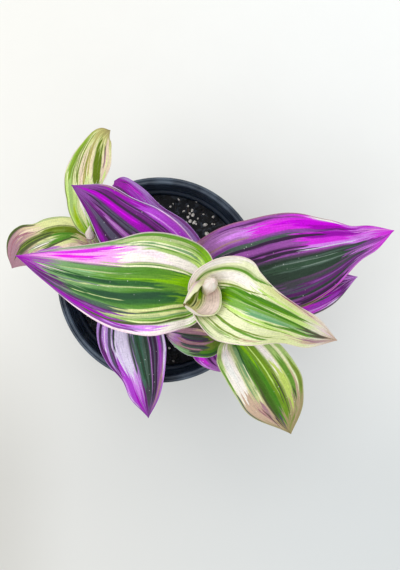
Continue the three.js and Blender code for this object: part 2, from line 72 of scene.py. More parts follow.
# Blades: the least half-width, the most a half curls in degrees, the midrib's groove by its depth and its
# share of a half, and the margin's ripple by its height and the waves along a leaf.
LEAST_HALF = 0.2
MOST_CURL = 160
MIDRIB_DEPTH, MIDRIB_WIDTH = 0.22, 0.025
RIPPLE_HEIGHT, RIPPLES = 0.35, 3.2

# Stems, sheaths and buds: a node's swelling as a share and its length, the sheath's wall, how far its faces
# start from the stem's, its lip above the blade's base, where the hairs stand out and half their thickness,
# and a bud's twist in radians and the step where its edge laps over.
NODE_SWELLING, NODE_LENGTH = 0.16, 1.7
SHEATH_WALL, SHEATH_SUNK, SHEATH_LIP, SHEATH_RIBS = 0.85, 0.15, 1.0, 16
HAIR_ROOT, HAIR_HALF = 0.75, 0.045
BUD_TWIST, BUD_STEP = 2.4, 0.16

# Finishes: the name of a piece's own map, how much coarser a leaf's streaks run along it than across, the
# cells of its skin to a millimetre, and the inputs of a stripe.
OWN_MAP = "across_along"
STREAK_SHARE = 0.06
SKIN_CELLS = 2.6
STRIPE_INPUTS = ("Ground", "Tone", "Across", "Along", "Frayed", "First", "Drift", "Bow", "Half", "From", "To")

# The stage, in metres: the floor's height, what the lamps aim at, and where the camera stands.
FLOOR_HEIGHT = -0.0002
LAMP_AIM = (0.02, 0.0, 0.09)
CAMERA_OVER = (0.0198, -0.0025)
CAMERA_LENS = 53.52

# Surface tones of the plant and its pot, as they look in even light.
TONES = {
    "lime": "#86bd12", "chartreuse": "#b2ce2f", "lemon": "#cdeb85", "grass": "#6a9936", "green": "#558a2a",
    "forest": "#336333", "slate": "#314237", "moss": "#4c6156", "teal": "#46685c", "sage": "#7fa472",
    "mint": "#8fbb86", "pale_sage": "#b6c48a", "olive": "#7d9538", "dark_olive": "#525c36",
    "cream": "#eef0c6", "butter": "#dde19d", "ivory": "#fbf3ec", "blush": "#e6cbd6", "pink": "#f3a6ec",
    "lilac": "#bd90dd", "pale_lilac": "#eadffb", "orchid": "#d98af0", "magenta": "#dc30e6",
    "deep_magenta": "#9d0bb0", "violet": "#8c4ba0", "plum": "#5f2a6a", "aubergine": "#3d2445",
    "mauve": "#ac8290", "rose": "#d2b59e", "tan": "#a8996c", "bark": "#6a5238", "white": "#f5f4ef",
    "bright_lime": "#80bb08", "chartreuse_green": "#88ad30", "grass_sage": "#6b9a55",
    "slate_forest": "#2c5136", "forest_slate": "#38513f", "sea": "#74ad7a", "steel": "#555066",
    "lemon_cream": "#e6ecaf", "hot_magenta": "#ea22e6", "bright_violet": "#b443d2", "deep_violet": "#6d2079",
    "dark_rose": "#a5707c", "bark_green": "#5c5647", "pink_blush": "#efcadf", "vivid_magenta": "#ce00e2",
    "rich_magenta": "#aa00bc", "dusty_orchid": "#b276bf", "amethyst": "#9c54aa", "slate_grey": "#48474f",
    "leaf_sage": "#a8c674", "spring": "#7fb04f", "vivid_green": "#5c9418", "fern": "#4a8420",
    "deep_olive": "#667d18", "khaki": "#b9b06a", "pale_rose": "#ead5bb", "pale_pink": "#fbe6ef",
    "grey_sage": "#74857c", "disc_pink": "#ead5cd", "shell": "#f1e8e0", "deep_leaf": "#486f22",
    "olive_green": "#749a24", "corn": "#c6da6c",
}

# Stems and buds: points of the path from the soil upward, and radii along it.
SHOOTS = {
    "main": {
        "path": [(8, -3, 60), (14, -4, 80), (19, -4.5, 100), (21.5, -4.8, 125), (22.5, -5, 156)],
        "radius": [2.5, 2.3, 2.3, 2.1, 1.5],
        "bud": [(22.4, -5, 153.6), (23.5, -3.1, 161), (24.8, -0.7, 168.5)],
        "bud_radius": [2.1, 2.4, 2.7, 3.1, 3, 1.2],
        "slot": "stem_green",
        "tones": ("olive", "mauve"),
    },
    "left": {
        "path": [
            (-12, -6, 58), (-12.5, -6, 72), (-14.5, -4, 84), (-21, 5, 92), (-28, 14.5, 96), (-31, 18, 99),
            (-32.8, 21, 104),
        ],
        "radius": [2.3, 2.2, 2.1, 2, 1.7, 1.5, 1.3],
        "bud": [(-32.6, 20.8, 103.2), (-32.7, 22.4, 105.5), (-32, 25.4, 109)],
        "bud_radius": [2.1, 2.2, 1.5, 0.3],
        "slot": "stem_tan",
        "tones": ("tan", "violet"),
    },
    "front": {
        "path": [
            (17, -12, 58), (18, -13, 72), (23, -17.5, 84), (30.5, -24.5, 96), (33.5, -27, 103),
            (34, -27.5, 108.5),
        ],
        "radius": [2.3, 2.2, 2.1, 1.9, 1.7, 1.4],
        "bud": [(33.9, -27.4, 107.2), (34.2, -27.8, 111), (34.6, -28.2, 115.5)],
        "bud_radius": [1.9, 2, 1.5, 0.4],
        "slot": "stem_green",
        "tones": ("olive", "mauve"),
    },
}

# Leaves, numbered from the soil upward. A station is (x, y, z, left half-width, right half-width), and
# they run evenly from base to tip. fold and curl are angles of a half, along the leaf, in degrees.
LEAVES = {
    "main_1": {
        "stations": [
            (17, -2.5, 99, 8, 8), (14.5, 10.5, 107, 8.5, 9.2), (5.5, 20.5, 111, 9.5, 10.4),
            (-3, 29.5, 112, 9.5, 7.4), (-11, 37, 108, 9, 7.5), (-18, 43.5, 99, 6.5, 6.5), (-23, 47, 90, 2, 2),
        ],
        "fold": [12, 10, 6], "curl": [10, 25, 40], "sheath": 7,
    },
    "main_2": {
        "stations": [
            (22.5, -5, 107, 8, 8), (34.5, -7.5, 114, 10.5, 10.5), (46.5, -8.5, 116, 13, 12.5),
            (59, -8, 115, 13, 12), (72, -6, 111, 10.5, 10.5), (84.5, -2, 105, 6.5, 7), (96, 1.5, 98, 0, 0),
        ],
        "sheath": 6,
    },
    "main_3": {
        "stations": [
            (19, -2.5, 116, 7.5, 7.5), (11.5, 5, 123, 12, 11.5), (2.5, 12, 128, 15.5, 15),
            (-7.5, 19.5, 129, 15.5, 15), (-17.5, 27.5, 126, 13, 11.7), (-28.5, 35.5, 121, 6, 9.6),
            (-40, 44, 114, 0, 0),
        ],
        "curl": [-5, -10, -10], "sheath": 6.5,
    },
    "main_4": {
        "stations": [
            (24.5, -4, 124, 20.5, 14), (31.5, -1, 129, 22, 15.5), (38.5, 2, 133, 23, 17.5),
            (46.5, 4, 134.5, 23, 20), (55, 6.5, 135, 22.5, 21), (64, 8.5, 134, 21.5, 20),
            (72.5, 10.5, 132, 18.5, 17), (81, 13, 128.5, 14.3, 13), (90.5, 15.5, 124, 9.4, 7.2),
            (100, 19, 118, 6.2, 5.2), (110.5, 23, 112, 0, 0),
        ],
        "curl": [-10, -16, -10], "sheath": 6, "clasp_length": 0.1, "lobe": 5,
    },
    "main_5": {
        "stations": [
            (19.5, -4.5, 142, 15, 15), (10.5, -2.5, 149, 19.5, 20), (-1, -1.5, 152, 22.5, 21.5),
            (-14.5, -1, 151, 20.5, 18.5), (-29.5, 1.5, 147, 14.5, 14), (-45, 5.5, 141, 7.5, 8),
            (-62, 10.5, 132, 0, 0),
        ],
        "fold": [12, 8, 4], "curl": [-10, -18, -12], "sheath": 8, "clasp_length": 0.1, "lobe": 4,
    },
    "main_6": {
        "stations": [
            (25.5, -6, 146, 15, 19.5), (31.5, -8, 158, 22, 18.5), (38.5, -11, 161, 15.5, 17),
            (48, -14.5, 158, 10.5, 14), (58, -18.5, 151, 8, 9.5), (69, -23, 142, 6.5, 7),
            (80.5, -27, 133, 0, 0),
        ],
        "fold": [6, 10, 6], "curl": [10, -16, -10], "roll": [24, 8, 2, 0], "sheath": 2.4, "clasp": 190,
        "clasp_length": 0.3, "lobe_length": 0.3, "rounding": 0.08,
    },
    "main_7": {
        "stations": [
            (19.5, 0, 153, 10.5, 7.5), (16.8, -4.1, 158.5, 15.1, 6.8), (15, -8, 163, 14.2, 6.5),
            (14.1, -9.7, 166.5, 7.5, 3.1), (13.8, -10.4, 169.5, 0, 0),
        ],
        "fold": [10, 10, 10], "curl": [85, 60, 68], "roll": [-50, -60], "sheath": 4.2, "clasp_length": 1,
        "lobe": 0,
    },
    "left_1": {
        "stations": [
            (-15.5, -4.5, 86, 8.5, 8.5), (-14, -16, 96, 13.5, 14), (-14, -25.5, 100, 16, 16),
            (-12.5, -36, 101, 16.5, 13.5), (-10, -47.5, 98, 13, 8), (-8, -58, 92, 8.5, 6),
            (-6, -69, 84, 0, 0),
        ],
        "fold": [16, 12, 8], "sheath": 6,
    },
    "left_2": {
        "stations": [
            (-32, 17, 97, 4.5, 4.5), (-36.2, 20.3, 99.7, 6.4, 5.8), (-40.5, 22.5, 101.3, 7.9, 6.8),
            (-45, 23, 101.3, 8.8, 7.4), (-49.6, 22.8, 100.2, 9.3, 7.5), (-54.5, 22, 98, 9.5, 7.3),
            (-59.6, 20.8, 94.6, 9.9, 6.9), (-64.6, 18.7, 90.7, 10.1, 9.1), (-69.1, 15.7, 86.5, 10.2, 8.9),
            (-72.8, 11.5, 81.9, 7.4, 5.8), (-75.8, 6, 77, 0, 0),
        ],
        "fold": [16, 12, 8], "sheath": 3.4, "lobe": 1,
    },
    "left_3": {
        "stations": [
            (-32.5, 22, 101.5, 4.5, 4.5), (-35.9, 28.1, 103.1, 4.7, 6), (-37.8, 33.8, 104.3, 5.2, 7.5),
            (-37.6, 38.8, 104.9, 6.2, 9.1), (-37.3, 43.9, 105.1, 7.4, 10.2), (-36.5, 49, 105, 8.2, 10.8),
            (-34.9, 53.8, 104.5, 7.8, 11.3), (-32.5, 59.2, 103.5, 7.3, 10.8), (-29.3, 65.8, 102, 5.8, 7.6),
            (-26.5, 70, 100.5, 4, 4.8), (-23.5, 72.2, 99, 0, 0),
        ],
        "fold": [16, 12, 8], "sheath": 2.6, "lobe": 1,
    },
    "front_1": {
        "stations": [
            (25, -22.5, 87.5, 4.5, 4.5), (25, -25.5, 94, 7.5, 8), (24.5, -31, 97, 9, 10),
            (25.5, -36.5, 97, 8, 8.4), (28.5, -41, 95, 5, 4.2), (35.5, -46.5, 91, 0, 0),
        ],
        "fold": [12, 8, 4], "sheath": 5.5, "lobe": 1,
    },
    "front_2": {
        "stations": [
            (29, -26.5, 98, 4.5, 4.5), (25, -27.5, 103, 9, 9), (20, -27.5, 105, 9.5, 10),
            (14.5, -27.5, 105, 8.5, 8.5), (9.5, -27, 103, 6, 6), (2, -25, 97, 0, 0),
        ],
        "fold": [12, 8, 4], "sheath": 5, "lobe": 1,
    },
    "front_3": {
        "stations": [
            (34.5, -28.5, 105.5, 8.5, 7), (38, -32.5, 112, 13.5, 12), (42.5, -39.5, 114, 17.5, 13),
            (48, -48.5, 112, 19, 13), (53.5, -57.5, 106, 18, 12.7), (59.5, -67, 97, 12.5, 6.9),
            (65, -76.5, 87, 0, 0),
        ],
        "sheath": 4.5, "clasp_length": 0.1,
    },
}

# What a leaf has where its own table doesn't say otherwise.
LEAF_DEFAULTS = {
    "clasp": 60, "clasp_length": 0.15, "lobe": 2, "lobe_length": 0.4, "rounding": 0.1, "roll": [0, 0],
    "fold": [14, 10, 6], "curl": [-10, -20, -20],
}

# The perlite grains that show beside the leaves, each as (x, y, size).
SEEN_GRAINS = [
    (6.4, 39.2, 0.8), (11.6, 35.1, 0.8), (13.6, 38.1, 0.9), (15.7, 35.8, 0.9), (16.1, 33.5, 1.3),
    (14.7, 30.4, 1), (26.5, 32.5, 1), (22.4, 28.4, 1.4), (23.4, 23.7, 1.6), (18, 40.4, 0.6), (4.7, 37.8, 0.6),
    (27.5, 28.9, 0.7), (21.6, 33.9, 0.6), (8.8, 41.5, 0.6), (18.7, 31.7, 0.6),
]

# How each leaf is coloured, in hundredths of its length or of its half-width. ground gives tones by place
# from base to tip. A stripe is (tone, places across, half-width, from, to), and later ones lie over earlier
# ones. Places across run from -100 at the right margin to 100 at the left one: either one for the whole
# stripe, or three, at its start, halfway and at its end. from and to are places along the leaf.
PATTERNS = {
    "main_1": {
        "slot": "leaf_magenta",
        "ground": {0: "lilac", 50: "lilac", 66: "bright_violet", 80: "rich_magenta", 100: "rich_magenta"},
        "margin": "lilac",
        "under": ("violet", "plum"),
        "stripes": [
            ("amethyst", -90, 10, 5, 70), ("lilac", -78, 10, 0, 52), ("plum", 65, 62, 60, 35, 0, 92),
            ("bright_violet", -30, -25, -20, 10, 60, 80), ("magenta", -55, 10, 66, 80),
            ("rich_magenta", -40, 20, 74, 100), ("plum", 10, 8, 10, 16, 66, 100),
            ("deep_violet", -62, -62, -66, 9, 78, 93), ("lilac", -90, -88, -88, 10, 56, 92),
            ("orchid", 40, 10, 82, 98),
        ],
    },
    "main_2": {
        "slot": "leaf_magenta",
        "ground": {0: "violet", 60: "magenta", 80: "deep_magenta", 88: "plum", 93: "violet", 97: "orchid"},
        "margin": "blush",
        "under": ("violet", "plum"),
        "stripes": [
            ("moss", 40, 25, 0, 90), ("plum", -15, 12, 0, 90), ("moss", -46, 5, 50, 78),
            ("bright_violet", -64, -62, -60, 10, 60, 88), ("orchid", -78, 4, 50, 80),
            ("plum", -74, -76, -78, 4, 76, 92), ("pale_lilac", -87, -88, -90, 5, 74, 87),
            ("moss", -97, 4, 50, 90), ("slate_grey", -10, -10, -16, 12, 68, 93),
            ("plum", -50, -50, -40, 14, 85, 95), ("dusty_orchid", -38, -26, -10, 4, 80, 95),
        ],
    },
    "main_3": {
        "slot": "leaf_purple",
        "ground": {0: "orchid", 40: "violet", 75: "plum", 93: "violet"},
        "margin": "pale_lilac",
        "under": ("violet", "plum"),
        "stripes": [
            ("deep_violet", 85, 82, 80, 16, 50, 95), ("deep_magenta", 86, 84, 80, 7, 60, 82),
            ("steel", 54, 52, 50, 14, 45, 86), ("aubergine", 68, 68, 64, 4, 50, 80),
            ("aubergine", 37, 38, 36, 5, 45, 85), ("amethyst", 24, 22, 20, 8, 45, 80),
            ("dusty_orchid", 24, 23, 23, 4.5, 48, 82), ("deep_violet", 26, 30, 26, 10, 75, 95),
            ("aubergine", 9, 10, 2, 4, 45, 90), ("steel", 0, 2, -4, 6, 45, 84),
            ("aubergine", -12, -5, -20, 5, 45, 90), ("steel", -10, -6, -20, 3, 50, 86),
            ("deep_magenta", -30, -28, -55, 14, 35, 99), ("rich_magenta", -28, -30, -60, 9, 45, 99),
            ("vivid_magenta", -30, -30, -40, 3, 50, 90), ("deep_violet", -44, -48, -62, 8, 36, 92),
            ("aubergine", -42, -46, -60, 3.5, 36, 92), ("deep_violet", -56, -62, -74, 6, 30, 90),
            ("violet", -58, -62, -66, 2, 36, 70), ("aubergine", -60, -66, -72, 2.5, 38, 80),
            ("bright_violet", -78, -80, -80, 15, 10, 64), ("orchid", -72, -74, -74, 2, 30, 52),
            ("deep_magenta", -86, -84, -80, 10, 58, 82), ("pink", -99, 2, 10, 50),
            ("mauve", -95, -94, -90, 5, 72, 92),
        ],
    },
    "main_4": {
        "slot": "leaf_plum",
        "ground": {0: "mauve", 20: "violet", 42: "amethyst", 60: "magenta", 84: "orchid", 94: "magenta"},
        "margin": "dark_rose",
        "under": ("violet", "plum"),
        "stripes": [
            ("dusty_orchid", 75, 75, 78, 16, 5, 36), ("orchid", 77, 76, 78, 7, 18, 46),
            ("mauve", 68, 66, 64, 1.6, 5, 30), ("magenta", 76, 76, 80, 13, 30, 82),
            ("vivid_magenta", 78, 80, 86, 10, 46, 80), ("rich_magenta", 70, 76, 90, 8, 60, 88),
            ("plum", 90, 92, 92, 2.2, 20, 50), ("amethyst", 97, 2.5, 12, 56),
            ("white", 100, 98, 98, 6, 60, 76), ("deep_magenta", 54, 52, 70, 14, 56, 88),
            ("deep_violet", 60, 66, 80, 3, 56, 80), ("violet", 58, 59, 65, 3.5, 8, 70),
            ("moss", 50, 52, 54, 5, 10, 50), ("aubergine", 44, 47, 54, 3, 12, 68),
            ("amethyst", 36, 36, 38, 6, 20, 62), ("magenta", 36, 38, 50, 8, 54, 86),
            ("aubergine", 22, 9, 20, 62), ("amethyst", 24, 1.2, 30, 60), ("orchid", 24, 24, 30, 5, 54, 86),
            ("pale_lilac", 20, 19, 26, 1.6, 52, 84), ("slate", -16, -16, -14, 33, 0, 87),
            ("amethyst", 14, 15, 16, 1, 34, 70), ("forest_slate", -10, -12, -12, 8, 30, 80),
            ("moss", -4, 0, 0, 2.5, 30, 85), ("moss", -18, -20, -28, 3, 42, 86),
            ("grey_sage", -16, -19, -28, 0.8, 44, 86), ("grey_sage", -2, -4, -10, 0.6, 34, 80),
            ("slate", -32, -32, -34, 6, 30, 84), ("slate_grey", -50, 8, 30, 82), ("steel", -68, 14, 30, 84),
            ("plum", -62, -64, -64, 13, 42, 84), ("violet", -56, -58, -62, 2, 46, 80),
            ("violet", -74, -74, -70, 3, 50, 80), ("slate_grey", -50, -50, -54, 1.4, 36, 84),
            ("slate_grey", -66, -68, -70, 1.4, 40, 84), ("plum", -70, -70, -66, 6, 40, 84),
            ("steel", -63, 1.5, 36, 70), ("slate", -76, -76, -74, 3, 40, 80),
            ("plum", -86, -86, -84, 5, 40, 80), ("aubergine", -90, 3.5, 42, 76),
            ("dark_olive", -97, 3, 40, 60), ("slate_grey", 2, 0, -10, 10, 78, 92),
            ("violet", -10, -20, -50, 14, 80, 96), ("slate_grey", -50, -55, -60, 8, 76, 92),
            ("amethyst", -22, -25, -40, 5, 78, 90), ("amethyst", -90, -86, -80, 8, 74, 94),
            ("deep_magenta", 0, -30, -60, 20, 88, 100), ("pink", 66, 70, 75, 14, 88, 100),
        ],
    },
    "main_5": {
        "slot": "leaf_green",
        "ground": {0: "lime", 16: "grass", 34: "green", 60: "grass_sage", 85: "sage", 93: "rich_magenta"},
        "margin": "blush",
        "under": ("mauve", "violet"),
        "stripes": [
            ("amethyst", 92, 94, 95, 10, 34, 80), ("violet", 85, 85, 90, 20, 55, 100),
            ("ivory", 86, 88, 92, 9, 0, 46), ("orchid", 86, 87, 90, 6, 28, 56), ("lilac", 90, 3, 40, 64),
            ("deep_magenta", 84, 86, 90, 8, 50, 88), ("violet", 93, 94, 95, 3, 40, 90),
            ("pale_pink", 98, 2, 10, 74), ("leaf_sage", 68, 72, 76, 6, 5, 50),
            ("grass", 66, 70, 74, 2, 6, 46), ("lemon_cream", 71, 74, 76, 1.4, 8, 50),
            ("dark_olive", 72, 78, 88, 1.8, 5, 66), ("sage", 58, 62, 66, 4.5, 5, 60),
            ("butter", 57, 60, 66, 3, 5, 50), ("pale_sage", 62, 68, 76, 2, 30, 60),
            ("dark_olive", 46, 54, 64, 1.4, 8, 56), ("butter", 42, 50, 58, 3, 6, 52),
            ("plum", 62, 76, 86, 7, 48, 95), ("moss", 56, 62, 78, 5, 46, 80),
            ("violet", 66, 72, 84, 2, 45, 78), ("plum", 50, 60, 70, 10, 70, 97),
            ("forest", 26, 32, 50, 13, 14, 76), ("slate_forest", 24, 28, 40, 6, 24, 68),
            ("forest", 4, 5, 22, 5, 30, 84), ("slate_forest", 5, 6, 22, 3, 50, 86),
            ("pale_sage", 10, 14, 36, 1.4, 34, 78), ("grey_sage", 16, 26, 46, 2, 62, 86),
            ("pale_sage", 34, 40, 52, 0.8, 42, 72), ("plum", 36, 44, 56, 4, 76, 94), ("lime", -10, 20, 0, 20),
            ("bright_lime", -6, 15, 0, 16), ("lime", -5, -6, -6, 3, 15, 50),
            ("grass", -10, -12, -10, 3, 30, 70), ("fern", -3, -5, -2, 1, 25, 70),
            ("green", -18, -22, -22, 2, 15, 62), ("pale_sage", -17, -18, -15, 1, 45, 80),
            ("mint", -12, -12, -8, 3, 60, 86), ("forest", -26, -34, -36, 2.2, 12, 78),
            ("forest", 0, 0, 6, 3, 70, 86), ("blush", 2, 4, 10, 6, 80, 91),
            ("blush", -34, -46, -44, 6, 0, 70), ("ivory", -42, -50, -60, 11, 0, 60),
            ("ivory", -48, -62, -70, 9, 16, 56), ("pale_pink", -50, -70, -82, 8, 28, 60),
            ("pink", -60, -64, -70, 26, 46, 94), ("magenta", -58, -60, -66, 4, 62, 88),
            ("magenta", -80, -78, -76, 6, 52, 88), ("hot_magenta", -55, -60, -70, 9, 68, 87),
            ("pink", -42, -44, -50, 3, 50, 86), ("cream", -29, -32, -41, 1.4, 8, 62),
            ("pale_sage", -33, -38, -47, 0.9, 12, 66), ("lemon", -62, -64, -66, 14, 0, 13),
            ("leaf_sage", -58, -62, -68, 3, 10, 38), ("sage", -68, -74, -82, 5, 10, 42),
            ("cream", -66, -72, -80, 1.2, 14, 44), ("leaf_sage", -76, -82, -90, 3.5, 10, 50),
            ("cream", -74, -79, -86, 1, 14, 48), ("pale_sage", -84, -88, -94, 1.4, 14, 60),
            ("pale_sage", -88, -90, -96, 1.4, 12, 56), ("magenta", -60, -50, -40, 20, 93, 100),
            ("deep_violet", 50, 40, 30, 30, 90, 98), ("pink", -70, -75, -80, 14, 86, 97),
        ],
    },
    "main_6": {
        "slot": "leaf_cream",
        "ground": {0: "cream", 40: "cream", 60: "lemon_cream", 78: "lemon_cream", 87: "shell", 97: "rose"},
        "margin": "blush",
        "under": ("cream", "blush"),
        "stripes": [
            ("ivory", 95, 90, 95, 10, 0, 26), ("ivory", 52, 50, 56, 12, 0, 40),
            ("lemon_cream", 70, 72, 74, 12, 36, 80), ("lemon", 56, 62, 60, 5, 36, 76),
            ("butter", 86, 84, 84, 10, 40, 74), ("pale_rose", 90, 84, 80, 12, 66, 90),
            ("dark_rose", 95, 95, 92, 4, 48, 74), ("pale_sage", 82, 72, 102, 6, 6, 46),
            ("grass", 80, 70, 100, 3, 8, 46), ("olive", 30, 36, 62, 1.6, 12, 46),
            ("cream", 24, 27, 44, 2, 12, 42), ("vivid_green", 18, 31, 44, 6, 12, 62),
            ("vivid_green", 30, 38, 42, 13, 34, 80), ("fern", 26, 40, 42, 4, 26, 72),
            ("green", 38, 44, 40, 5, 42, 74), ("dark_olive", 34, 34, 33, 3, 68, 82),
            ("lemon", 56, 57, 54, 2, 56, 78), ("spring", 19, 20, 22, 2, 16, 66),
            ("lemon", 19, 20, 22, 1.4, 50, 74), ("lemon", 21, 22, 20, 12, 62, 85), ("cream", 20, 16, 78, 88),
            ("lime", 2, 2, 0, 14, 0, 24), ("bright_lime", 0, 6, 6, 20), ("spring", -4, -6, -8, 10, 14, 86),
            ("sea", -12, -14, -16, 8, 36, 70), ("mint", -6, -10, -14, 3, 30, 80),
            ("lemon", -20, -26, -30, 3, 16, 64), ("vivid_green", 10, 10, -2, 6, 10, 88),
            ("fern", 8, 8, 2, 2.5, 20, 86), ("green", -24, -28, -28, 8, 62, 88),
            ("grass", -30, -34, -34, 3, 50, 86), ("bark_green", -8, -16, -20, 16, 76, 100),
            ("lemon", -16, -24, -44, 2, 10, 62), ("lemon", -36, -44, -50, 4, 40, 74),
            ("olive", -20, -38, -58, 0.7, 14, 76), ("grass", -42, -62, -84, 3, 10, 56),
            ("olive", -44, -64, -82, 1.4, 12, 70), ("olive", -62, -76, -90, 1.8, 12, 48),
            ("leaf_sage", -70, -78, -90, 1.6, 12, 40), ("pale_sage", -76, -80, -90, 2, 12, 34),
            ("grass", -90, -95, -100, 5, 10, 24), ("rose", -84, -86, -86, 4, 36, 50),
            ("rose", -66, -70, -72, 10, 70, 86), ("mauve", -56, 16, 80, 95),
            ("pink_blush", 50, 45, 40, 20, 86, 94), ("dark_rose", 85, 80, 80, 5, 74, 86),
        ],
    },
    "main_7": {
        "slot": "leaf_cream",
        "ground": {0: "butter", 45: "butter", 66: "khaki", 86: "tan", 100: "bark"},
        "margin": "cream",
        "under": ("cream", "blush"),
        "stripes": [
            ("olive", 6, 14, 0, 66), ("deep_olive", 16, 14, 10, 4, 30, 70), ("lime", 30, 8, 4, 30),
            ("olive", 30, 38, 40, 1.6, 8, 52), ("khaki", 34, 33, 34, 3, 28, 52),
            ("olive", 42, 45, 46, 1, 10, 50), ("dark_olive", 24, 26, 26, 1.6, 30, 56),
            ("disc_pink", 72, 30, 2, 66), ("pale_sage", 97, 2, 10, 60),
            ("lemon_cream", -70, -72, -75, 26, 0, 60), ("lemon", -30, -38, -50, 14, 10, 66),
            ("butter", -50, -60, -70, 8, 30, 70), ("olive", -84, -90, -94, 3, 12, 50),
        ],
    },
    "left_1": {
        "slot": "leaf_purple",
        "ground": {0: "lilac", 50: "lilac", 70: "orchid", 93: "violet"},
        "margin": "lilac",
        "under": ("violet", "plum"),
        "stripes": [
            ("amethyst", 84, 84, 80, 8, 0, 84), ("violet", 60, 20, 60, 100), ("mauve", 90, 84, 70, 6, 60, 94),
            ("steel", 92, 4, 20, 56), ("pale_lilac", 97, 95, 90, 3, 30, 72),
            ("bright_violet", 82, 81, 80, 3, 30, 64), ("steel", 55, 55, 50, 22, 5, 94),
            ("slate_grey", 70, 68, 64, 5, 20, 86), ("aubergine", 72, 70, 68, 3, 30, 90),
            ("steel", 62, 62, 60, 2, 25, 74), ("aubergine", 58, 58, 56, 3, 30, 90),
            ("dusty_orchid", 50, 53, 52, 1.2, 20, 80), ("teal", 22, 26, 28, 22, 0, 86),
            ("slate", 42, 44, 42, 4, 20, 88), ("moss", 36, 3, 30, 80),
            ("slate_forest", 16, 22, 28, 5, 20, 74), ("slate", 12, 28, 34, 3, 36, 90),
            ("moss", 2, 8, 16, 3, 36, 68), ("slate", -5, -4, 2, 5, 20, 64),
            ("deep_violet", 12, 14, 20, 8, 74, 100), ("slate_grey", 30, 32, 30, 14, 74, 97),
            ("pale_lilac", -26, -26, -20, 20, 0, 70), ("pale_lilac", -50, -52, -50, 8, 40, 62),
            ("bright_violet", -66, -64, -60, 20, 55, 84), ("orchid", -24, -22, -20, 16, 66, 86),
            ("bright_violet", -10, -10, -5, 10, 78, 96), ("bright_violet", -60, -56, -40, 24, 72, 97),
            ("rich_magenta", -50, -46, -40, 16, 82, 97), ("slate", -46, -50, -57, 2.8, 20, 48),
            ("pale_lilac", -54, -58, -64, 2, 20, 50), ("steel", -60, -66, -86, 5, 20, 62),
            ("plum", -62, -68, -90, 3, 40, 66), ("orchid", -74, -78, -88, 3, 20, 52),
            ("pale_lilac", -74, -77, -84, 1.2, 24, 46), ("aubergine", -86, -90, -97, 5, 20, 50),
            ("deep_violet", -92, -94, -95, 6, 40, 74), ("plum", -86, -92, -100, 3, 42, 66),
            ("pale_lilac", -90, -85, -80, 5, 80, 92),
        ],
    },
    "left_2": {
        "slot": "leaf_lime",
        "ground": {0: "rose", 18: "butter", 52: "butter", 66: "rose", 80: "mauve"},
        "margin": "olive",
        "under": ("blush", "mauve"),
        "stripes": [
            ("mauve", 20, 30, 40, 30, 0, 10), ("pale_rose", 60, 78, 86, 16, 0, 40),
            ("dusty_orchid", 80, 78, 68, 12, 36, 72), ("green", 20, 36, 50, 20, 16, 56),
            ("grass", 8, 26, 50, 8, 20, 52), ("dark_olive", 28, 60, 70, 3, 20, 60),
            ("dark_olive", 24, 52, 60, 3, 20, 50), ("pale_sage", 34, 42, 42, 10, 46, 84),
            ("shell", 42, 44, 34, 6, 50, 72), ("moss", 40, 40, 30, 1.2, 50, 76),
            ("moss", 50, 50, 42, 1.2, 52, 74), ("deep_olive", -12, -16, -6, 25, 10, 58),
            ("olive", -10, -10, -6, 10, 30, 52), ("fern", 6, 10, 16, 6, 18, 56),
            ("dark_olive", 2, 6, 0, 22, 50, 92), ("dark_olive", 16, 18, 10, 2, 48, 80),
            ("olive", 4, 6, 0, 2, 50, 84), ("olive", -10, -6, -6, 2, 50, 80),
            ("dark_olive", -40, -42, -30, 2, 20, 62), ("bark_green", 0, -4, -12, 10, 84, 95),
            ("pale_rose", -50, -56, -50, 16, 54, 74), ("dark_rose", -50, -52, -50, 12, 66, 94),
            ("mauve", -44, -44, -40, 12, 76, 95), ("dark_olive", -96, -93, -93, 10, 58, 96),
            ("pale_sage", -94, 5, 26, 60), ("lime", -60, 20, 0, 14),
        ],
    },
    "left_3": {
        "slot": "leaf_lime",
        "ground": {
            0: "lime", 8: "leaf_sage", 30: "lemon", 48: "lemon_cream", 62: "pale_rose", 80: "butter",
            92: "khaki", 100: "tan",
        },
        "margin": "blush",
        "under": ("blush", "mauve"),
        "stripes": [
            ("lemon_cream", -10, -10, 0, 25, 6, 40), ("ivory", -40, -10, 30, 8, 10, 44),
            ("chartreuse", 55, 52, 50, 30, 2, 22), ("bright_lime", 52, 12, 4, 14),
            ("leaf_sage", 66, 62, 60, 16, 14, 50), ("lemon", 82, 82, 84, 5, 10, 50),
            ("olive", 62, 66, 84, 14, 42, 70), ("leaf_sage", 58, 66, 82, 3, 42, 80),
            ("chartreuse_green", 72, 80, 86, 14, 50, 88), ("olive", 66, 74, 80, 3, 50, 84),
            ("leaf_sage", 86, 90, 96, 3, 40, 72), ("olive", 96, 4, 10, 46),
            ("lemon_cream", 34, 56, 78, 5, 42, 90), ("pale_rose", -2, 12, 34, 8, 42, 72),
            ("olive", 18, 40, 66, 4, 42, 86), ("deep_olive", 18, 48, 70, 1.8, 42, 80),
            ("olive", 38, 60, 72, 1.2, 48, 84), ("khaki", -20, 6, 36, 7, 42, 92),
            ("olive", -14, 10, 30, 1.4, 44, 72), ("pale_rose", -8, 4, 20, 3, 44, 70),
            ("olive", -28, -6, 24, 1.4, 44, 74), ("khaki", -36, -16, 10, 3, 44, 76),
            ("deep_olive", -80, -42, -10, 13, 40, 86), ("deep_olive", -92, -60, -30, 7, 40, 84),
            ("dark_olive", -98, -76, -50, 3, 44, 84), ("pale_rose", -94, -80, -60, 10, 44, 94),
            ("lemon", -96, -90, -80, 3, 46, 70), ("mauve", -70, -66, -60, 3, 66, 84),
        ],
    },
    "front_1": {
        "slot": "leaf_magenta",
        "ground": {0: "violet", 50: "deep_magenta", 72: "amethyst", 86: "dusty_orchid"},
        "margin": "pale_sage",
        "under": ("violet", "plum"),
        "stripes": [
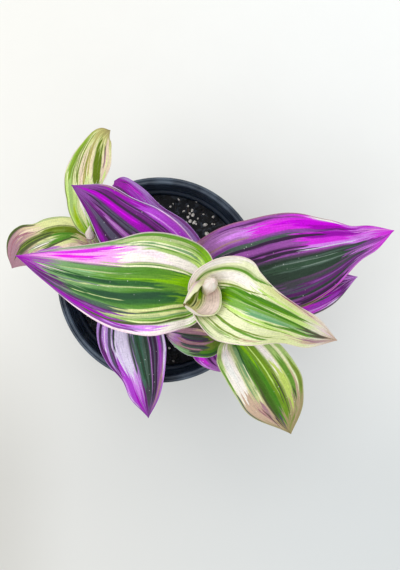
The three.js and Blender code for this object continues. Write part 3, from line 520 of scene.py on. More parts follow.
            ("plum", 16, 12, 10, 8, 40, 84), ("magenta", -55, -60, -60, 16, 40, 72),
            ("plum", -24, -24, -30, 9, 50, 78), ("aubergine", -22, -24, -26, 4, 56, 72),
            ("orchid", -85, -85, -80, 10, 60, 84),
        ],
    },
    "front_2": {
        "slot": "leaf_green",
        "ground": {
            0: "grass", 20: "olive", 34: "bark_green", 60: "bark_green", 78: "mauve", 88: "dusty_orchid",
            97: "blush",
        },
        "margin": "pale_lilac",
        "under": ("mauve", "violet"),
        "stripes": [
            ("green", 97, 6, 16, 70), ("slate_grey", 90, 2, 20, 56), ("green", 72, 74, 78, 10, 10, 50),
            ("forest", 84, 4, 16, 54), ("sage", 84, 84, 78, 18, 55, 90), ("mint", 86, 86, 84, 8, 64, 90),
            ("mauve", 60, 60, 56, 4, 36, 80), ("slate_grey", 74, 72, 70, 5, 40, 62),
            ("moss", 50, 50, 44, 5, 20, 80), ("slate_grey", 42, 43, 30, 5, 24, 84),
            ("mauve", 26, 28, -4, 7, 20, 90), ("dark_rose", 30, 30, 0, 3, 46, 88),
            ("slate_grey", 6, 6, -22, 12, 22, 86), ("plum", 15, 15, -12, 2.5, 30, 86),
            ("slate", -10, -12, -30, 5, 30, 84), ("moss", 2, 2, -26, 2, 30, 84),
            ("mauve", -18, -32, -44, 13, 24, 84), ("rose", -24, -36, -44, 5, 28, 60),
            ("mauve", -42, -48, -50, 8, 48, 82), ("bark_green", -62, -74, -84, 18, 24, 62),
        ],
    },
    "front_3": {
        "slot": "leaf_lime",
        "ground": {0: "pale_sage", 30: "cream", 50: "butter", 66: "rose", 88: "tan"},
        "margin": "pale_sage",
        "under": ("blush", "mauve"),
        "stripes": [
            ("leaf_sage", 92, 92, 90, 6, 20, 80), ("olive", 92, 92, 90, 6, 48, 84),
            ("cream", 85, 85, 82, 1.6, 20, 70), ("grass", 73, 72, 68, 7, 10, 78),
            ("leaf_sage", 74, 73, 72, 5, 10, 44), ("dark_olive", 70, 69, 68, 4, 62, 78),
            ("ivory", 54, 54, 52, 8, 10, 58), ("corn", 54, 54, 50, 10, 44, 80),
            ("grass", 33, 33, 30, 12, 0, 88), ("olive_green", 30, 30, 28, 13, 14, 90),
            ("olive", 40, 40, 34, 2, 40, 86), ("dark_olive", 38, 37, 33, 1, 46, 88),
            ("dark_olive", 30, 30, 28, 1, 52, 78), ("lemon", 28, 1.2, 20, 60),
            ("olive_green", 21, 21, 16, 1.2, 12, 74), ("green", 0, -2, 0, 20, 0, 86),
            ("fern", 14, 14, 12, 5, 10, 84), ("lime", 12, 14, 14, 5, 6, 34),
            ("deep_leaf", -2, -3, -8, 10, 30, 88), ("dark_olive", -12, -18, -24, 5, 50, 92),
            ("sage", -14, -20, -28, 10, 5, 50), ("pale_sage", -24, -34, -44, 6, 5, 60),
            ("cream", -18, -22, -28, 1.4, 30, 60), ("forest", 0, -12, -22, 2.4, 8, 48),
            ("sage", -30, -40, -44, 1.6, 26, 60), ("olive", -40, -44, -50, 1.4, 28, 48),
            ("ivory", -55, -62, -70, 20, 3, 56), ("white", -60, -66, -72, 10, 10, 46),
            ("ivory", -80, -80, -78, 10, 30, 64), ("rose", -60, -58, -56, 26, 52, 90),
            ("mauve", -34, -36, -36, 6, 56, 78), ("dark_rose", -50, 10, 68, 86),
            ("rose", -80, -80, -76, 8, 50, 80), ("steel", -2, -10, -20, 12, 82, 94),
            ("aubergine", -30, -34, -40, 5, 80, 95), ("bark_green", -44, -54, -80, 2.2, 70, 94),
            ("leaf_sage", -86, -86, -88, 8, 0, 30), ("grass", -94, -94, -95, 3, 20, 46),
            ("moss", -95, -94, -94, 2.5, 44, 82), ("olive", 60, 40, 20, 12, 86, 98),
            ("rose", 75, 70, 60, 12, 84, 92),
        ],
    },
}


class PotSettings(bpy.types.PropertyGroup):
    """Sizes and finish of the pot."""

    rim_radius: bpy.props.FloatProperty(
        name="Rim radius",
        description="Outside radius of the turned-down band",
        default=51 * MM,
        unit="LENGTH",
    )
    height: bpy.props.FloatProperty(
        name="Height",
        description="From the ground to the top of the lip",
        default=88 * MM,
        unit="LENGTH",
    )
    wall: bpy.props.FloatProperty(
        name="Wall",
        description="Thickness of the side wall",
        default=1.2 * MM,
        unit="LENGTH",
    )
    colour: bpy.props.FloatVectorProperty(
        name="Colour",
        description="Colour of the moulded plastic",
        default=(0.008, 0.018, 0.037),
        subtype="COLOR",
        size=3,
    )
    gloss: bpy.props.FloatProperty(
        name="Roughness",
        description="Roughness of the moulded plastic",
        default=0.34,
        subtype="FACTOR",
    )


class SoilSettings(bpy.types.PropertyGroup):
    """The potting mix and what lies in it."""

    level: bpy.props.FloatProperty(
        name="Level",
        description="Height of the mix above the ground",
        default=72 * MM,
        unit="LENGTH",
    )
    crumbs: bpy.props.IntProperty(
        name="Crumbs",
        description="Bark and peat crumbs on top",
        default=620,
    )
    grains: bpy.props.IntProperty(
        name="Perlite grains",
        description="White grains on top",
        default=130,
    )
    colour: bpy.props.FloatVectorProperty(
        name="Colour",
        description="Colour of the damp mix",
        default=(0.004, 0.006, 0.009),
        subtype="COLOR",
        size=3,
    )


class LeafSettings(bpy.types.PropertyGroup):
    """What all the leaves have in common."""

    thickness: bpy.props.FloatProperty(
        name="Thickness",
        description="Thickness of a blade along its midrib",
        default=0.7 * MM,
        unit="LENGTH",
    )
    vein_depth: bpy.props.FloatProperty(
        name="Vein depth",
        description="How far the veins stand out of a blade",
        default=0.05 * MM,
        unit="LENGTH",
    )
    veins: bpy.props.IntProperty(
        name="Veins",
        description="Parallel veins in each half of a blade",
        default=13,
    )
    hairs: bpy.props.IntProperty(
        name="Hairs",
        description="Hairs round the mouth of each sheath",
        default=46,
    )
    roughness: bpy.props.FloatProperty(
        name="Roughness",
        description="Roughness of a blade's upper face",
        default=0.42,
        subtype="FACTOR",
    )


class StageSettings(bpy.types.PropertyGroup):
    """Floor, lamps and camera."""

    floor_size: bpy.props.FloatProperty(
        name="Floor size",
        description="Side of the floor",
        default=4.0,
        unit="LENGTH",
    )
    key_power: bpy.props.FloatProperty(
        name="Key lamp",
        description="Power of the large lamp overhead, towards the photo's top, in watts",
        default=13.5,
    )
    fill_power: bpy.props.FloatProperty(
        name="Fill lamp",
        description="Power of the lamp at the photo's lower left, in watts",
        default=13.0,
    )
    sky: bpy.props.FloatProperty(
        name="Room light",
        description="Strength of the even light from all round",
        default=0.665,
    )
    camera_height: bpy.props.FloatProperty(
        name="Camera height",
        description="Height of the camera above the ground",
        default=508 * MM,
        unit="LENGTH",
    )


def colour_of(tone):
    """A named tone as linear red, green, blue and full alpha, by the display's own curve."""
    code = TONES[tone]
    parts = [int(code[i : i + 2], 16) / 255 for i in (1, 3, 5)]
    return (*[p / 12.92 if p <= 0.04045 else ((p + 0.055) / 1.055) ** 2.4 for p in parts], 1.0)


def smooth_step(x):
    """Rises from 0 to 1 as x does, with a level start and end."""
    x = np.clip(x, 0, 1)
    return x * x * (3 - 2 * x)


def curve_through(values, t):
    """The uniform Catmull-Rom curve through evenly spaced rows of numbers, at shares t of its length.

    Both ends are carried on straight, so the curve starts and ends on the first and last row.
    """
    rows = np.asarray(values, float)
    rows = rows.reshape(len(rows), -1)
    rows = np.vstack([2 * rows[0] - rows[1], rows, 2 * rows[-1] - rows[-2]])
    place = np.clip(np.asarray(t, float), 0, 1) * (len(rows) - 3)
    i = np.minimum(place.astype(int), len(rows) - 4)
    f = (place - i)[:, None]
    a, b, c, d = rows[i], rows[i + 1], rows[i + 2], rows[i + 3]
    square = (2 * a - 5 * b + 4 * c - d) * f**2
    cube = (3 * b - a - 3 * c + d) * f**3
    return (2 * b + (c - a) * f + square + cube) / 2


def unit(vectors):
    """Each vector along the last axis at length 1."""
    return vectors / np.maximum(np.linalg.norm(vectors, axis=-1, keepdims=True), 1e-12)


def full_turn(count):
    """Evenly spaced angles once round."""
    return np.linspace(0, 2 * np.pi, count, endpoint=False)


def uneven(x, y, seed, size, octaves=4):
    """An uneven height at each point, about -1 to 1: crossed waves of falling length turned at random."""
    chance = np.random.default_rng(seed)
    total = np.zeros(np.shape(x))
    strength, scale = 1.0, 2 * np.pi / size
    for _ in range(octaves):
        turn = chance.uniform(0, np.pi)
        first, second = chance.uniform(0, 2 * np.pi, 2)
        a = x * np.cos(turn) + y * np.sin(turn)
        b = y * np.cos(turn) - x * np.sin(turn)
        total += strength * np.sin(scale * a + first) * np.sin(scale * b + second)
        strength, scale = strength * 0.6, scale * 1.83
    return total / 1.6


def grid_faces(rows, columns, wrap_rows=False, wrap_columns=False, start=0):
    """Four corner numbers for each cell of a grid of vertices, which may close on itself either way."""
    i, j = np.meshgrid(
        np.arange(rows if wrap_rows else rows - 1),
        np.arange(columns if wrap_columns else columns - 1),
        indexing="ij",
    )
    down, right = (i + 1) % rows, (j + 1) % columns
    corners = [i * columns + j, down * columns + j, down * columns + right, i * columns + right]
    return np.stack(corners, -1).reshape(-1, 4) + start


def new_piece(name, vertices, faces, materials, uv=None, face_material=None, sharp=50, weld=False):
    """A mesh object from arrays, in metres, that rides on the part and carries its finishes.

    uv holds one pair for each vertex. Where weld is on, rows that meet in a pole are joined.
    """
    mesh = bpy.data.meshes.new(name)
    vertices = np.asarray(vertices, np.float32).reshape(-1, 3)
    faces = np.asarray(faces, np.int32)
    mesh.vertices.add(len(vertices))
    mesh.vertices.foreach_set("co", vertices.ravel())
    mesh.loops.add(faces.size)
    mesh.loops.foreach_set("vertex_index", faces.ravel())
    mesh.polygons.add(len(faces))
    mesh.polygons.foreach_set("loop_start", np.arange(len(faces), dtype=np.int32) * faces.shape[1])
    if uv is not None:
        layer = mesh.uv_layers.new(name=OWN_MAP)
        pairs = np.asarray(uv, np.float32).reshape(-1, 2)[faces.ravel()]
        layer.data.foreach_set("uv", pairs.ravel())
    for material in materials:
        mesh.materials.append(material)
    if face_material is not None:
        mesh.polygons.foreach_set("material_index", np.asarray(face_material, np.int32))
    mesh.update(calc_edges=True)
    if weld:
        build = bmesh.new()
        build.from_mesh(mesh)
        bmesh.ops.remove_doubles(build, verts=build.verts, dist=1e-7)
        bmesh.ops.dissolve_degenerate(build, edges=build.edges, dist=1e-8)
        build.to_mesh(mesh)
        build.free()
    mesh.polygons.foreach_set("use_smooth", np.ones(len(mesh.polygons), bool))
    mesh.set_sharp_from_angle(angle=math.radians(sharp))
    piece = bpy.data.objects.new(name, mesh)
    bpy.context.scene.collection.objects.link(piece)
    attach(piece, "root")
    return piece


def ring_piece(name, grid, material, ring=False, mapped=False, sharp=50):
    """A piece from rows of points that each close round. The last row joins the first if ring is on.

    Otherwise the piece ends in a pole at each end. Its own map, if it has one, runs 0 to 1 round the
    columns and 0 to 1 along the rows.
    """
    rows, columns = grid.shape[:2]
    uv = None
    if mapped:
        uv = np.stack(np.meshgrid(np.linspace(0, 1, columns), np.linspace(0, 1, rows)), -1)
    faces = grid_faces(rows, columns, ring, True)[:, ::-1]
    return new_piece(name, grid, faces, [material], uv=uv, sharp=sharp, weld=not ring)


class Nodes:
    """A node tree, with a short call for each kind of node that the finishes use."""

    def __init__(self, tree):
        self.tree = tree

    def put(self, socket, value):
        """Links a socket to another's output, or sets it to a plain value."""
        if isinstance(value, bpy.types.NodeSocket):
            self.tree.links.new(value, socket)
        else:
            socket.default_value = value

    def node(self, kind, *values, **settings):
        """A node of a kind, with values for its first inputs and settings for its properties."""
        made = self.tree.nodes.new(kind)
        for key, value in settings.items():
            setattr(made, key, value)
        for socket, value in zip(made.inputs, values):
            if value is not None:
                self.put(socket, value)
        return made

    def math(self, operation, a, b=0.0, c=0.0):
        """One step of arithmetic."""
        return self.node("ShaderNodeMath", a, b, c, operation=operation).outputs[0]

    def mix(self, factor, a, b, blend="MIX"):
        """Colour a with colour b over it by a factor."""
        made = self.node("ShaderNodeMix", data_type="RGBA", blend_type=blend)
        for index, value in ((0, factor), (6, a), (7, b)):
            self.put(made.inputs[index], value)
        return made.outputs[2]

    def rise(self, value, start, end, low=0.0, high=1.0):
        """Goes smoothly from low to high as a value goes from start to end."""
        made = self.node(
            "ShaderNodeMapRange", value, start, end, low, high, interpolation_type="SMOOTHSTEP"
        )
        return made.outputs[0]

    def over(self, colour, tone, value, start, end, strength=1.0, blend="MIX"):
        """A colour with a tone over it, up to a strength as a value goes from start to end."""
        return self.mix(self.rise(value, start, end, 0, strength), colour, tone, blend)

    def noise(self, vector, scale, detail=3.0, rough=0.55):
        """Smooth noise, about 0.3 to 0.7, at a scale."""
        return self.node("ShaderNodeTexNoise", vector, None, scale, detail, rough).outputs[0]

    def cells(self, vector, scale):
        """Distance to the nearest of scattered points, at a scale."""
        return self.node("ShaderNodeTexVoronoi", vector, None, scale, feature="F1").outputs[0]

    def place(self, scale=(1, 1, 1)):
        """Object coordinates, scaled."""
        where = self.node("ShaderNodeTexCoord").outputs["Object"]
        return self.node("ShaderNodeMapping", where, None, None, scale).outputs[0]

    def own_map(self):
        """The piece's own map."""
        return self.node("ShaderNodeUVMap", uv_map=OWN_MAP).outputs[0]

    def parts(self, vector):
        """The three parts of a vector."""
        return self.node("ShaderNodeSeparateXYZ", vector).outputs

    def stretch(self, vector, x, y):
        """A vector with its first two parts multiplied."""
        return self.node("ShaderNodeVectorMath", vector, (x, y, 1), operation="MULTIPLY").outputs[0]

    def ramp(self, value, stops):
        """A colour that changes along a value, from tone names by their place in hundredths."""
        made = self.node("ShaderNodeValToRGB", value)
        marks = made.color_ramp.elements
        while len(marks) < len(stops):
            marks.new(0.5)
        for mark, (place, tone) in zip(marks, stops.items()):
            mark.position = place / 100
            mark.color = colour_of(tone)
        return made.outputs[0]


class Finish(Nodes):
    """A material's node tree."""

    def __init__(self, name, roughness):
        self.material = bpy.data.materials.new(name)
        self.material.use_nodes = True
        super().__init__(self.material.node_tree)
        self.shader = next(n for n in self.tree.nodes if n.type == "BSDF_PRINCIPLED")
        self.shader.inputs["Roughness"].default_value = roughness

    def bump(self, height, distance, strength=1.0):
        """Fine relief, in metres, on the shader."""
        made = self.node("ShaderNodeBump")
        self.put(made.inputs["Height"], height)
        made.inputs["Distance"].default_value = distance
        made.inputs["Strength"].default_value = strength
        self.put(self.shader.inputs["Normal"], made.outputs[0])

    def colour(self, value):
        """Sets the shader's colour."""
        self.put(self.shader.inputs["Base Color"], value)

    def roughness(self, value):
        """Sets the shader's roughness."""
        self.put(self.shader.inputs["Roughness"], value)


def stripe_group():
    """The node group that lays one stripe of a tone over a ground.

    Its middle drifts from its first place across in a parabola, whose bow is the sideways swing halfway.
    It covers the ground where the distance across from that middle is under its half-width, and where
    the place along lies between from and to. It narrows to a point at both ends.
    """
    group = bpy.data.node_groups.new("leaf stripe", "ShaderNodeTree")
    for label in STRIPE_INPUTS:
        kind = "NodeSocketColor" if label in ("Ground", "Tone") else "NodeSocketFloat"
        group.interface.new_socket(name=label, in_out="INPUT", socket_type=kind)
    group.interface.new_socket(name="Colour", in_out="OUTPUT", socket_type="NodeSocketColor")
    nodes = Nodes(group)
    math_node, rise = nodes.math, nodes.rise
    given = nodes.node("NodeGroupInput").outputs
    start, end, frayed = given["From"], given["To"], given["Frayed"]
    length = math_node("SUBTRACT", end, start)
    share = math_node("DIVIDE", math_node("SUBTRACT", given["Along"], start), length)
    arch = math_node("MULTIPLY", math_node("MULTIPLY", share, 4.0), math_node("SUBTRACT", 1.0, share))
    line = math_node("MULTIPLY_ADD", share, given["Drift"], given["First"])
    middle = math_node("MULTIPLY_ADD", arch, given["Bow"], line)
    distance = math_node("ABSOLUTE", math_node("SUBTRACT", given["Across"], middle))
    starts = rise(frayed, math_node("SUBTRACT", start, 0.03), math_node("ADD", start, 0.07))
    ends = rise(frayed, math_node("ADD", end, 0.04), math_node("SUBTRACT", end, 0.12))
    taper = math_node("MULTIPLY", starts, ends)
    half = math_node("MULTIPLY", given["Half"], math_node("MULTIPLY_ADD", taper, 0.7, 0.3))
    inner = math_node("MULTIPLY", half, 0.6)
    outer = math_node("MULTIPLY_ADD", half, 1.2, 0.01)
    faint = math_node("MINIMUM", math_node("MULTIPLY", taper, 1.6), 1.0)
    cover = math_node("MULTIPLY", rise(distance, outer, inner), faint)
    striped = nodes.mix(cover, given["Ground"], given["Tone"])
    nodes.node("NodeGroupOutput", striped)
    return group


def leaf_coordinates(finish, width, length):
    """Across and along from the leaf's own map, and that map stretched to streaks and to millimetres."""
    own_map = finish.own_map()
    parts = finish.parts(own_map)
    across = finish.math("MULTIPLY_ADD", parts[0], 2.0, -1.0)
    streaks = finish.stretch(own_map, width, length * STREAK_SHARE)
    return across, parts[1], streaks, finish.stretch(own_map, width, length)


def blade_finish(name, pattern, width, length, roughness, group):
    """Upper face of a leaf: its ground from base to tip, its stripes, streaks, mottle, painted highlights as
    pale specks, and cells.
    """
    finish = Finish(name, roughness)
    across, along, streaks, surface = leaf_coordinates(finish, width, length)
    fray, slip = finish.noise(streaks, 0.9, 2.0), finish.noise(streaks, 1.0, 2.0)
    frayed_across = finish.math("ADD", across, finish.rise(fray, 0.3, 0.7, -0.009, 0.009))
    frayed_along = finish.math("ADD", along, finish.rise(slip, 0.3, 0.7, -0.08, 0.08))
    colour = finish.ramp(frayed_along, pattern["ground"])
    for tone, *numbers in pattern["stripes"]:
        *places, half, start, end = (number / 100 for number in numbers)
        first, halfway, last = (places * 3)[:3]
        drawn = (colour, colour_of(tone), frayed_across, along, frayed_along)
        shape = (first, last - first, halfway - (first + last) / 2, half, start, end)
        stripe = finish.node("ShaderNodeGroup", node_tree=group)
        for label, value in zip(STRIPE_INPUTS, drawn + shape):
            finish.put(stripe.inputs[label], value)
        colour = stripe.outputs[0]
    from_midrib = finish.math("ABSOLUTE", across)
    colour = finish.over(colour, colour_of(pattern["margin"]), from_midrib, 0.965, 0.99, 0.7)
    fine = finish.noise(streaks, 2.4, 3.0, 0.6)
    mottle = finish.noise(surface, 1.1, 3.0, 0.6)
    for value, end, strength, tint in (
        (fine, 0.75, 0.5, (1.35, 1.35, 1.3, 1)),
        (fine, 0.28, 0.6, (0.5, 0.55, 0.55, 1)),
        (mottle, 0.7, 0.5, (1.3, 1.3, 1.3, 1)),
        (mottle, 0.3, 0.35, (0.7, 0.7, 0.7, 1)),
    ):
        colour = finish.over(colour, tint, value, 0.5, end, strength, "MULTIPLY")
    # Pale specks in scattered patches: painted highlights, small glints painted into the leaf's colour.
    patch = finish.rise(finish.noise(surface, 0.06, 2.0), 0.52, 0.62, 0, 0.55)
    dust_and_highlight = finish.math("MULTIPLY", finish.rise(finish.cells(surface, 0.42), 0.13, 0.05), patch)
    finish.colour(finish.mix(dust_and_highlight, colour, (0.9, 0.92, 0.9, 1)))
    cells = finish.cells(surface, SKIN_CELLS)
    finish.roughness(finish.rise(cells, 0.1, 0.7, roughness - 0.06, roughness + 0.1))
    finish.bump(finish.math("ADD", cells, finish.math("MULTIPLY", fine, 2.0)), 0.00006, 0.7)
    finish.shader.inputs["Specular IOR Level"].default_value = 0.09
    return finish.material


def under_finish(name, tones, width, length, roughness):
    """Under face of a leaf: two tones in streaks, pale veins and a pale midrib."""
    finish = Finish(name, roughness)
    across, _, streaks, surface = leaf_coordinates(finish, width, length)
    first, second = (colour_of(tone) for tone in tones)
    colour = finish.over(first, second, finish.noise(streaks, 0.35, 2.0), 0.4, 0.6)
    veins = finish.math("SINE", finish.math("MULTIPLY", across, 41.0))
    colour = finish.over(colour, colour_of("blush"), veins, 0.6, 1.0, 0.25)
    from_midrib = finish.math("ABSOLUTE", across)
    finish.colour(finish.over(colour, colour_of("pale_sage"), from_midrib, 0.05, 0.02, 0.6))
    finish.bump(finish.cells(surface, SKIN_CELLS), 0.00005, 0.6)
    return finish.material


def stalk_finish(name, first, second, roughness=0.45):
    """Stems, sheaths and buds: two tones in long streaks, with fine grooves."""
    finish = Finish(name, roughness)
    streaks = finish.stretch(finish.own_map(), 26, 3)
    wide, fine = finish.noise(streaks, 0.5, 2.0), finish.noise(streaks, 2.0, 3.0)
    colour = finish.over(colour_of(first), colour_of(second), wide, 0.4, 0.6)
    finish.colour(finish.over(colour, colour_of("cream"), fine, 0.5, 0.7, 0.25))
    finish.bump(fine, 0.0001, 0.8)
    return finish.material


def pot_finish(settings):
    """Moulded black plastic: satin, with faint flow marks and a pale band along the lip that is partly dust
    and partly a painted highlight.
    """
    finish = Finish("satin black plastic", settings.gloss)
    where = finish.place()
    marks, fine = finish.noise(where, 60.0, 4.0), finish.noise(where, 900.0, 3.0)
    height = finish.parts(where)[2]
    # The lip's pale blue-grey band: partly dust, partly a painted highlight where the lip's rounded bead
    # catches the light.
    lip = finish.rise(height, settings.height - 2.2 * MM, settings.height - 0.3 * MM, 0.1, 1)
    dust_and_highlight = finish.math("MULTIPLY", lip, finish.rise(marks, 0.35, 0.65, 0, 0.3))
    colour = finish.over((*settings.colour, 1), (0.013, 0.032, 0.066, 1), marks, 0.35, 0.7, 0.6)
    finish.colour(finish.mix(dust_and_highlight, colour, (0.23, 0.31, 0.40, 1)))
    finish.roughness(finish.rise(fine, 0.3, 0.7, settings.gloss - 0.05, settings.gloss + 0.12))
    finish.bump(fine, 0.00003, 0.5)
    return finish.material


def soil_finish(colour):
    """Damp peat: dark, with brown lumps, blue-grey specks and pale fibres."""
    finish = Finish("potting mix", 0.9)
    where = finish.place()
    lumps = finish.noise(where, 260.0, 6.0, 0.65)
    fibres = finish.noise(finish.place((1, 0.12, 1)), 900.0, 3.0, 0.6)
    specks = finish.noise(where, 520.0, 2.0, 0.5)
    brown = finish.over((*colour, 1), (0.016, 0.015, 0.015, 1), lumps, 0.42, 0.66)
    brown = finish.over(brown, (0.040, 0.052, 0.072, 1), specks, 0.54, 0.66, 0.75)
    finish.colour(finish.over(brown, (0.14, 0.10, 0.07, 1), fibres, 0.62, 0.73, 0.45))
    finish.bump(lumps, 0.0006, 0.8)
    return finish.material


def perlite_finish():
    """Perlite: chalky white with grey pits."""
    finish = Finish("perlite", 0.85)
    pits = finish.noise(finish.place(), 1400.0, 4.0, 0.6)
    finish.colour(finish.over((0.50, 0.48, 0.43, 1), (0.90, 0.88, 0.82, 1), pits, 0.35, 0.6))
    finish.bump(pits, 0.0002, 0.8)
    return finish.material


def floor_finish():
    """Pale floor: warmer on one side, cooler on the other, with painted shade that makes it a little darker
    towards the foot of the view and darker still at its lower left.
    """
    finish = Finish("pale floor", 0.85)
    finish.shader.inputs["Specular IOR Level"].default_value = 0.2
    where = finish.parts(finish.place())
    # Painted shade: the floor's colour darkens towards -Y, the foot of the view.
    near = finish.rise(where[1], 0.02, -0.13, 0, 0.9)
    right = finish.rise(where[0], -0.12, 0.14)
    light = finish.mix(right, (0.9, 0.89, 0.86, 1), (0.93, 0.94, 0.94, 1))
    painted_shade = finish.mix(right, (0.71, 0.705, 0.69, 1), (0.66, 0.685, 0.70, 1))
    # More painted shade at the left of the foot.
    painted_shade = finish.over(painted_shade, (0.59, 0.58, 0.555, 1), where[0], -0.05, -0.11)
    colour = finish.mix(near, light, painted_shade)
    grain = finish.noise(finish.place(), 30.0, 4.0)
    finish.colour(finish.over(colour, (0.75, 0.75, 0.74, 1), grain, 0.3, 0.7, 0.05))
    return finish.material


def lathe(profile, segments):
    """A closed profile of (radius, height) carried round the upright axis, as a grid closed both ways."""
    radius, height = np.asarray(profile, float).T[..., None]
    turn = full_turn(segments)
    return np.stack([radius * np.cos(turn), radius * np.sin(turn), height + 0 * turn], -1)


def rounded(profile, radius, steps=4):
    """A closed outline with each corner replaced by a short curve that starts a radius away from it.

    The curve is the quadratic one whose middle control point is the corner itself.
    """
    points = np.asarray(profile, float)
    ends = []
    for other in (np.roll(points, 1, 0), np.roll(points, -1, 0)):
        reach = np.minimum(radius, 0.45 * np.linalg.norm(other - points, axis=1))[:, None]
        ends.append((points + unit(other - points) * reach)[:, None])
    t = np.linspace(0, 1, steps)[None, :, None]
    curve = ends[0] * (1 - t) ** 2 + 2 * points[:, None] * t * (1 - t) + ends[1] * t**2
    return curve.reshape(-1, 2)


def pot_shell(settings):
    """Side of the pot: foot ring, tapered wall, ledge, collar with its rings, grooved lip and band."""
    rim, top, wall = settings.rim_radius / MM, settings.height / MM, settings.wall / MM
    foot = FOOT_RADIUS + wall
    outside = [
        (foot - 3.0, FLOOR_TOP), (foot - 3.0, 0), (foot, 0), (44.4 + wall, 74.8), (45.8 + wall, LEDGE),
        (47.5 + wall, top - 1.6), (rim - 0.9, top - 1.6), (rim - 0.9, top - 8), (rim, top - 8),
    ]
    lip = [
        (rim, top - 0.4), (rim - 0.6, top), (rim - 1.3, top - 0.05), (rim - 1.5, top - 0.45),
        (rim - 1.9, top - 0.45), (rim - 2.1, top - 0.05), (rim - 2.9, top - 0.05), (rim - 3.5, top - 0.7),
    ]
    inside = [
        (47.2, 84.6), (46.9, 84.4), (46.6, 81), (46.3, 80.8), (45.8, LEDGE), (44.4, LEDGE - 1),
        (FOOT_RADIUS, FLOOR_TOP),
    ]
    return lathe(rounded(outside + lip + inside, 0.35), 176) * MM


def pot_floor_sector(index):
    """One sixth of the pot's floor round its drain hole, a ring-shaped block closed both ways.

    Each ray from the hole's middle runs from the hole's edge to the sector's border, where the border is
    the nearest of the two straight sides, the inner arc and the outer arc.
    """
    middle, hole, inner, outer = 24.0, 3.5, 6.0, 34.6
    turn = full_turn(SECTOR_POINTS)
    ray = np.stack([np.cos(turn), np.sin(turn)], -1)
    centre = np.array([middle, 0.0])
    reach = np.full(SECTOR_POINTS, np.inf)
    for side in (1, -1):
        normal = np.array([-math.sin(math.pi / 6), side * math.cos(math.pi / 6)])
        facing = ray @ normal
        ahead = facing > 1e-9
        distance = np.where(ahead, -(centre @ normal) / np.where(ahead, facing, 1), np.inf)
        reach = np.minimum(reach, distance)
    along = ray @ centre
    reach = np.minimum(reach, -along + np.sqrt(along**2 + outer**2 - middle**2))
    inside = along**2 + inner**2 - middle**2
    meets = (inside > 0) & (along < 0)
    reach = np.where(meets, np.minimum(reach, -along - np.sqrt(np.maximum(inside, 0))), reach)
    border = centre + ray * reach[:, None]
    edge = centre + ray * hole
    loops = [(edge, FLOOR_FOOT), (border, FLOOR_FOOT), (border, FLOOR_TOP), (edge, FLOOR_TOP)]
    block = np.stack([np.insert(outline, 2, height, 1) for outline, height in loops])
    angle = 2 * np.pi * index / DRAIN_HOLES
    cos, sin = math.cos(angle), math.sin(angle)
    return block @ np.array([[cos, sin, 0], [-sin, cos, 0], [0, 0, 1]]) * MM


def tube_grid(path, radius, sides):
    """Rings round a path of points, each square to it, from one radius for a ring or one for a point.

    The first point of a ring faces +Y as nearly as it can.
    """
    along = unit(np.gradient(path, axis=0))
    reference = np.array([0.0, 1.0, 0.0])
    first = unit(reference - along * (along @ reference)[:, None])
    second = np.cross(along, first)
    turn = full_turn(sides)[:, None]
    ring = np.cos(turn) * first[:, None] + np.sin(turn) * second[:, None]
    return path[:, None] + ring * np.reshape(radius, (len(path), -1, 1))


def capped(grid):
    """A tube's rings with a point added at each end, drawn out to a full ring so that the poles weld."""
    start, end = (np.broadcast_to(row.mean(0), row.shape)[None] for row in (grid[0], grid[-1]))
    return np.concatenate([start, grid, end])


def stem_shape(key):
    """Path of a shoot's stem in metres from soil to tip, and its radii in millimetres.

    The radii swell at each node, where a leaf's sheath starts.
    """
    t = np.linspace(0, 1, STALK_STEPS)
    path = curve_through(SHOOTS[key]["path"], t) * MM
    radius = curve_through(SHOOTS[key]["radius"], t)[:, 0]
    nodes = [leaf["stations"][0][2] - leaf["sheath"] for name, leaf in LEAVES.items() if name.startswith(key)]
    run = np.concatenate([[0], np.cumsum(np.linalg.norm(np.diff(path, axis=0), axis=1))]) / MM
    places = np.interp(nodes, path[:, 2] / MM, run)
    bulge = np.exp(-(((run[:, None] - places[None, :]) / NODE_LENGTH) ** 2)).sum(1)
    return path, radius * (1 + NODE_SWELLING * bulge)


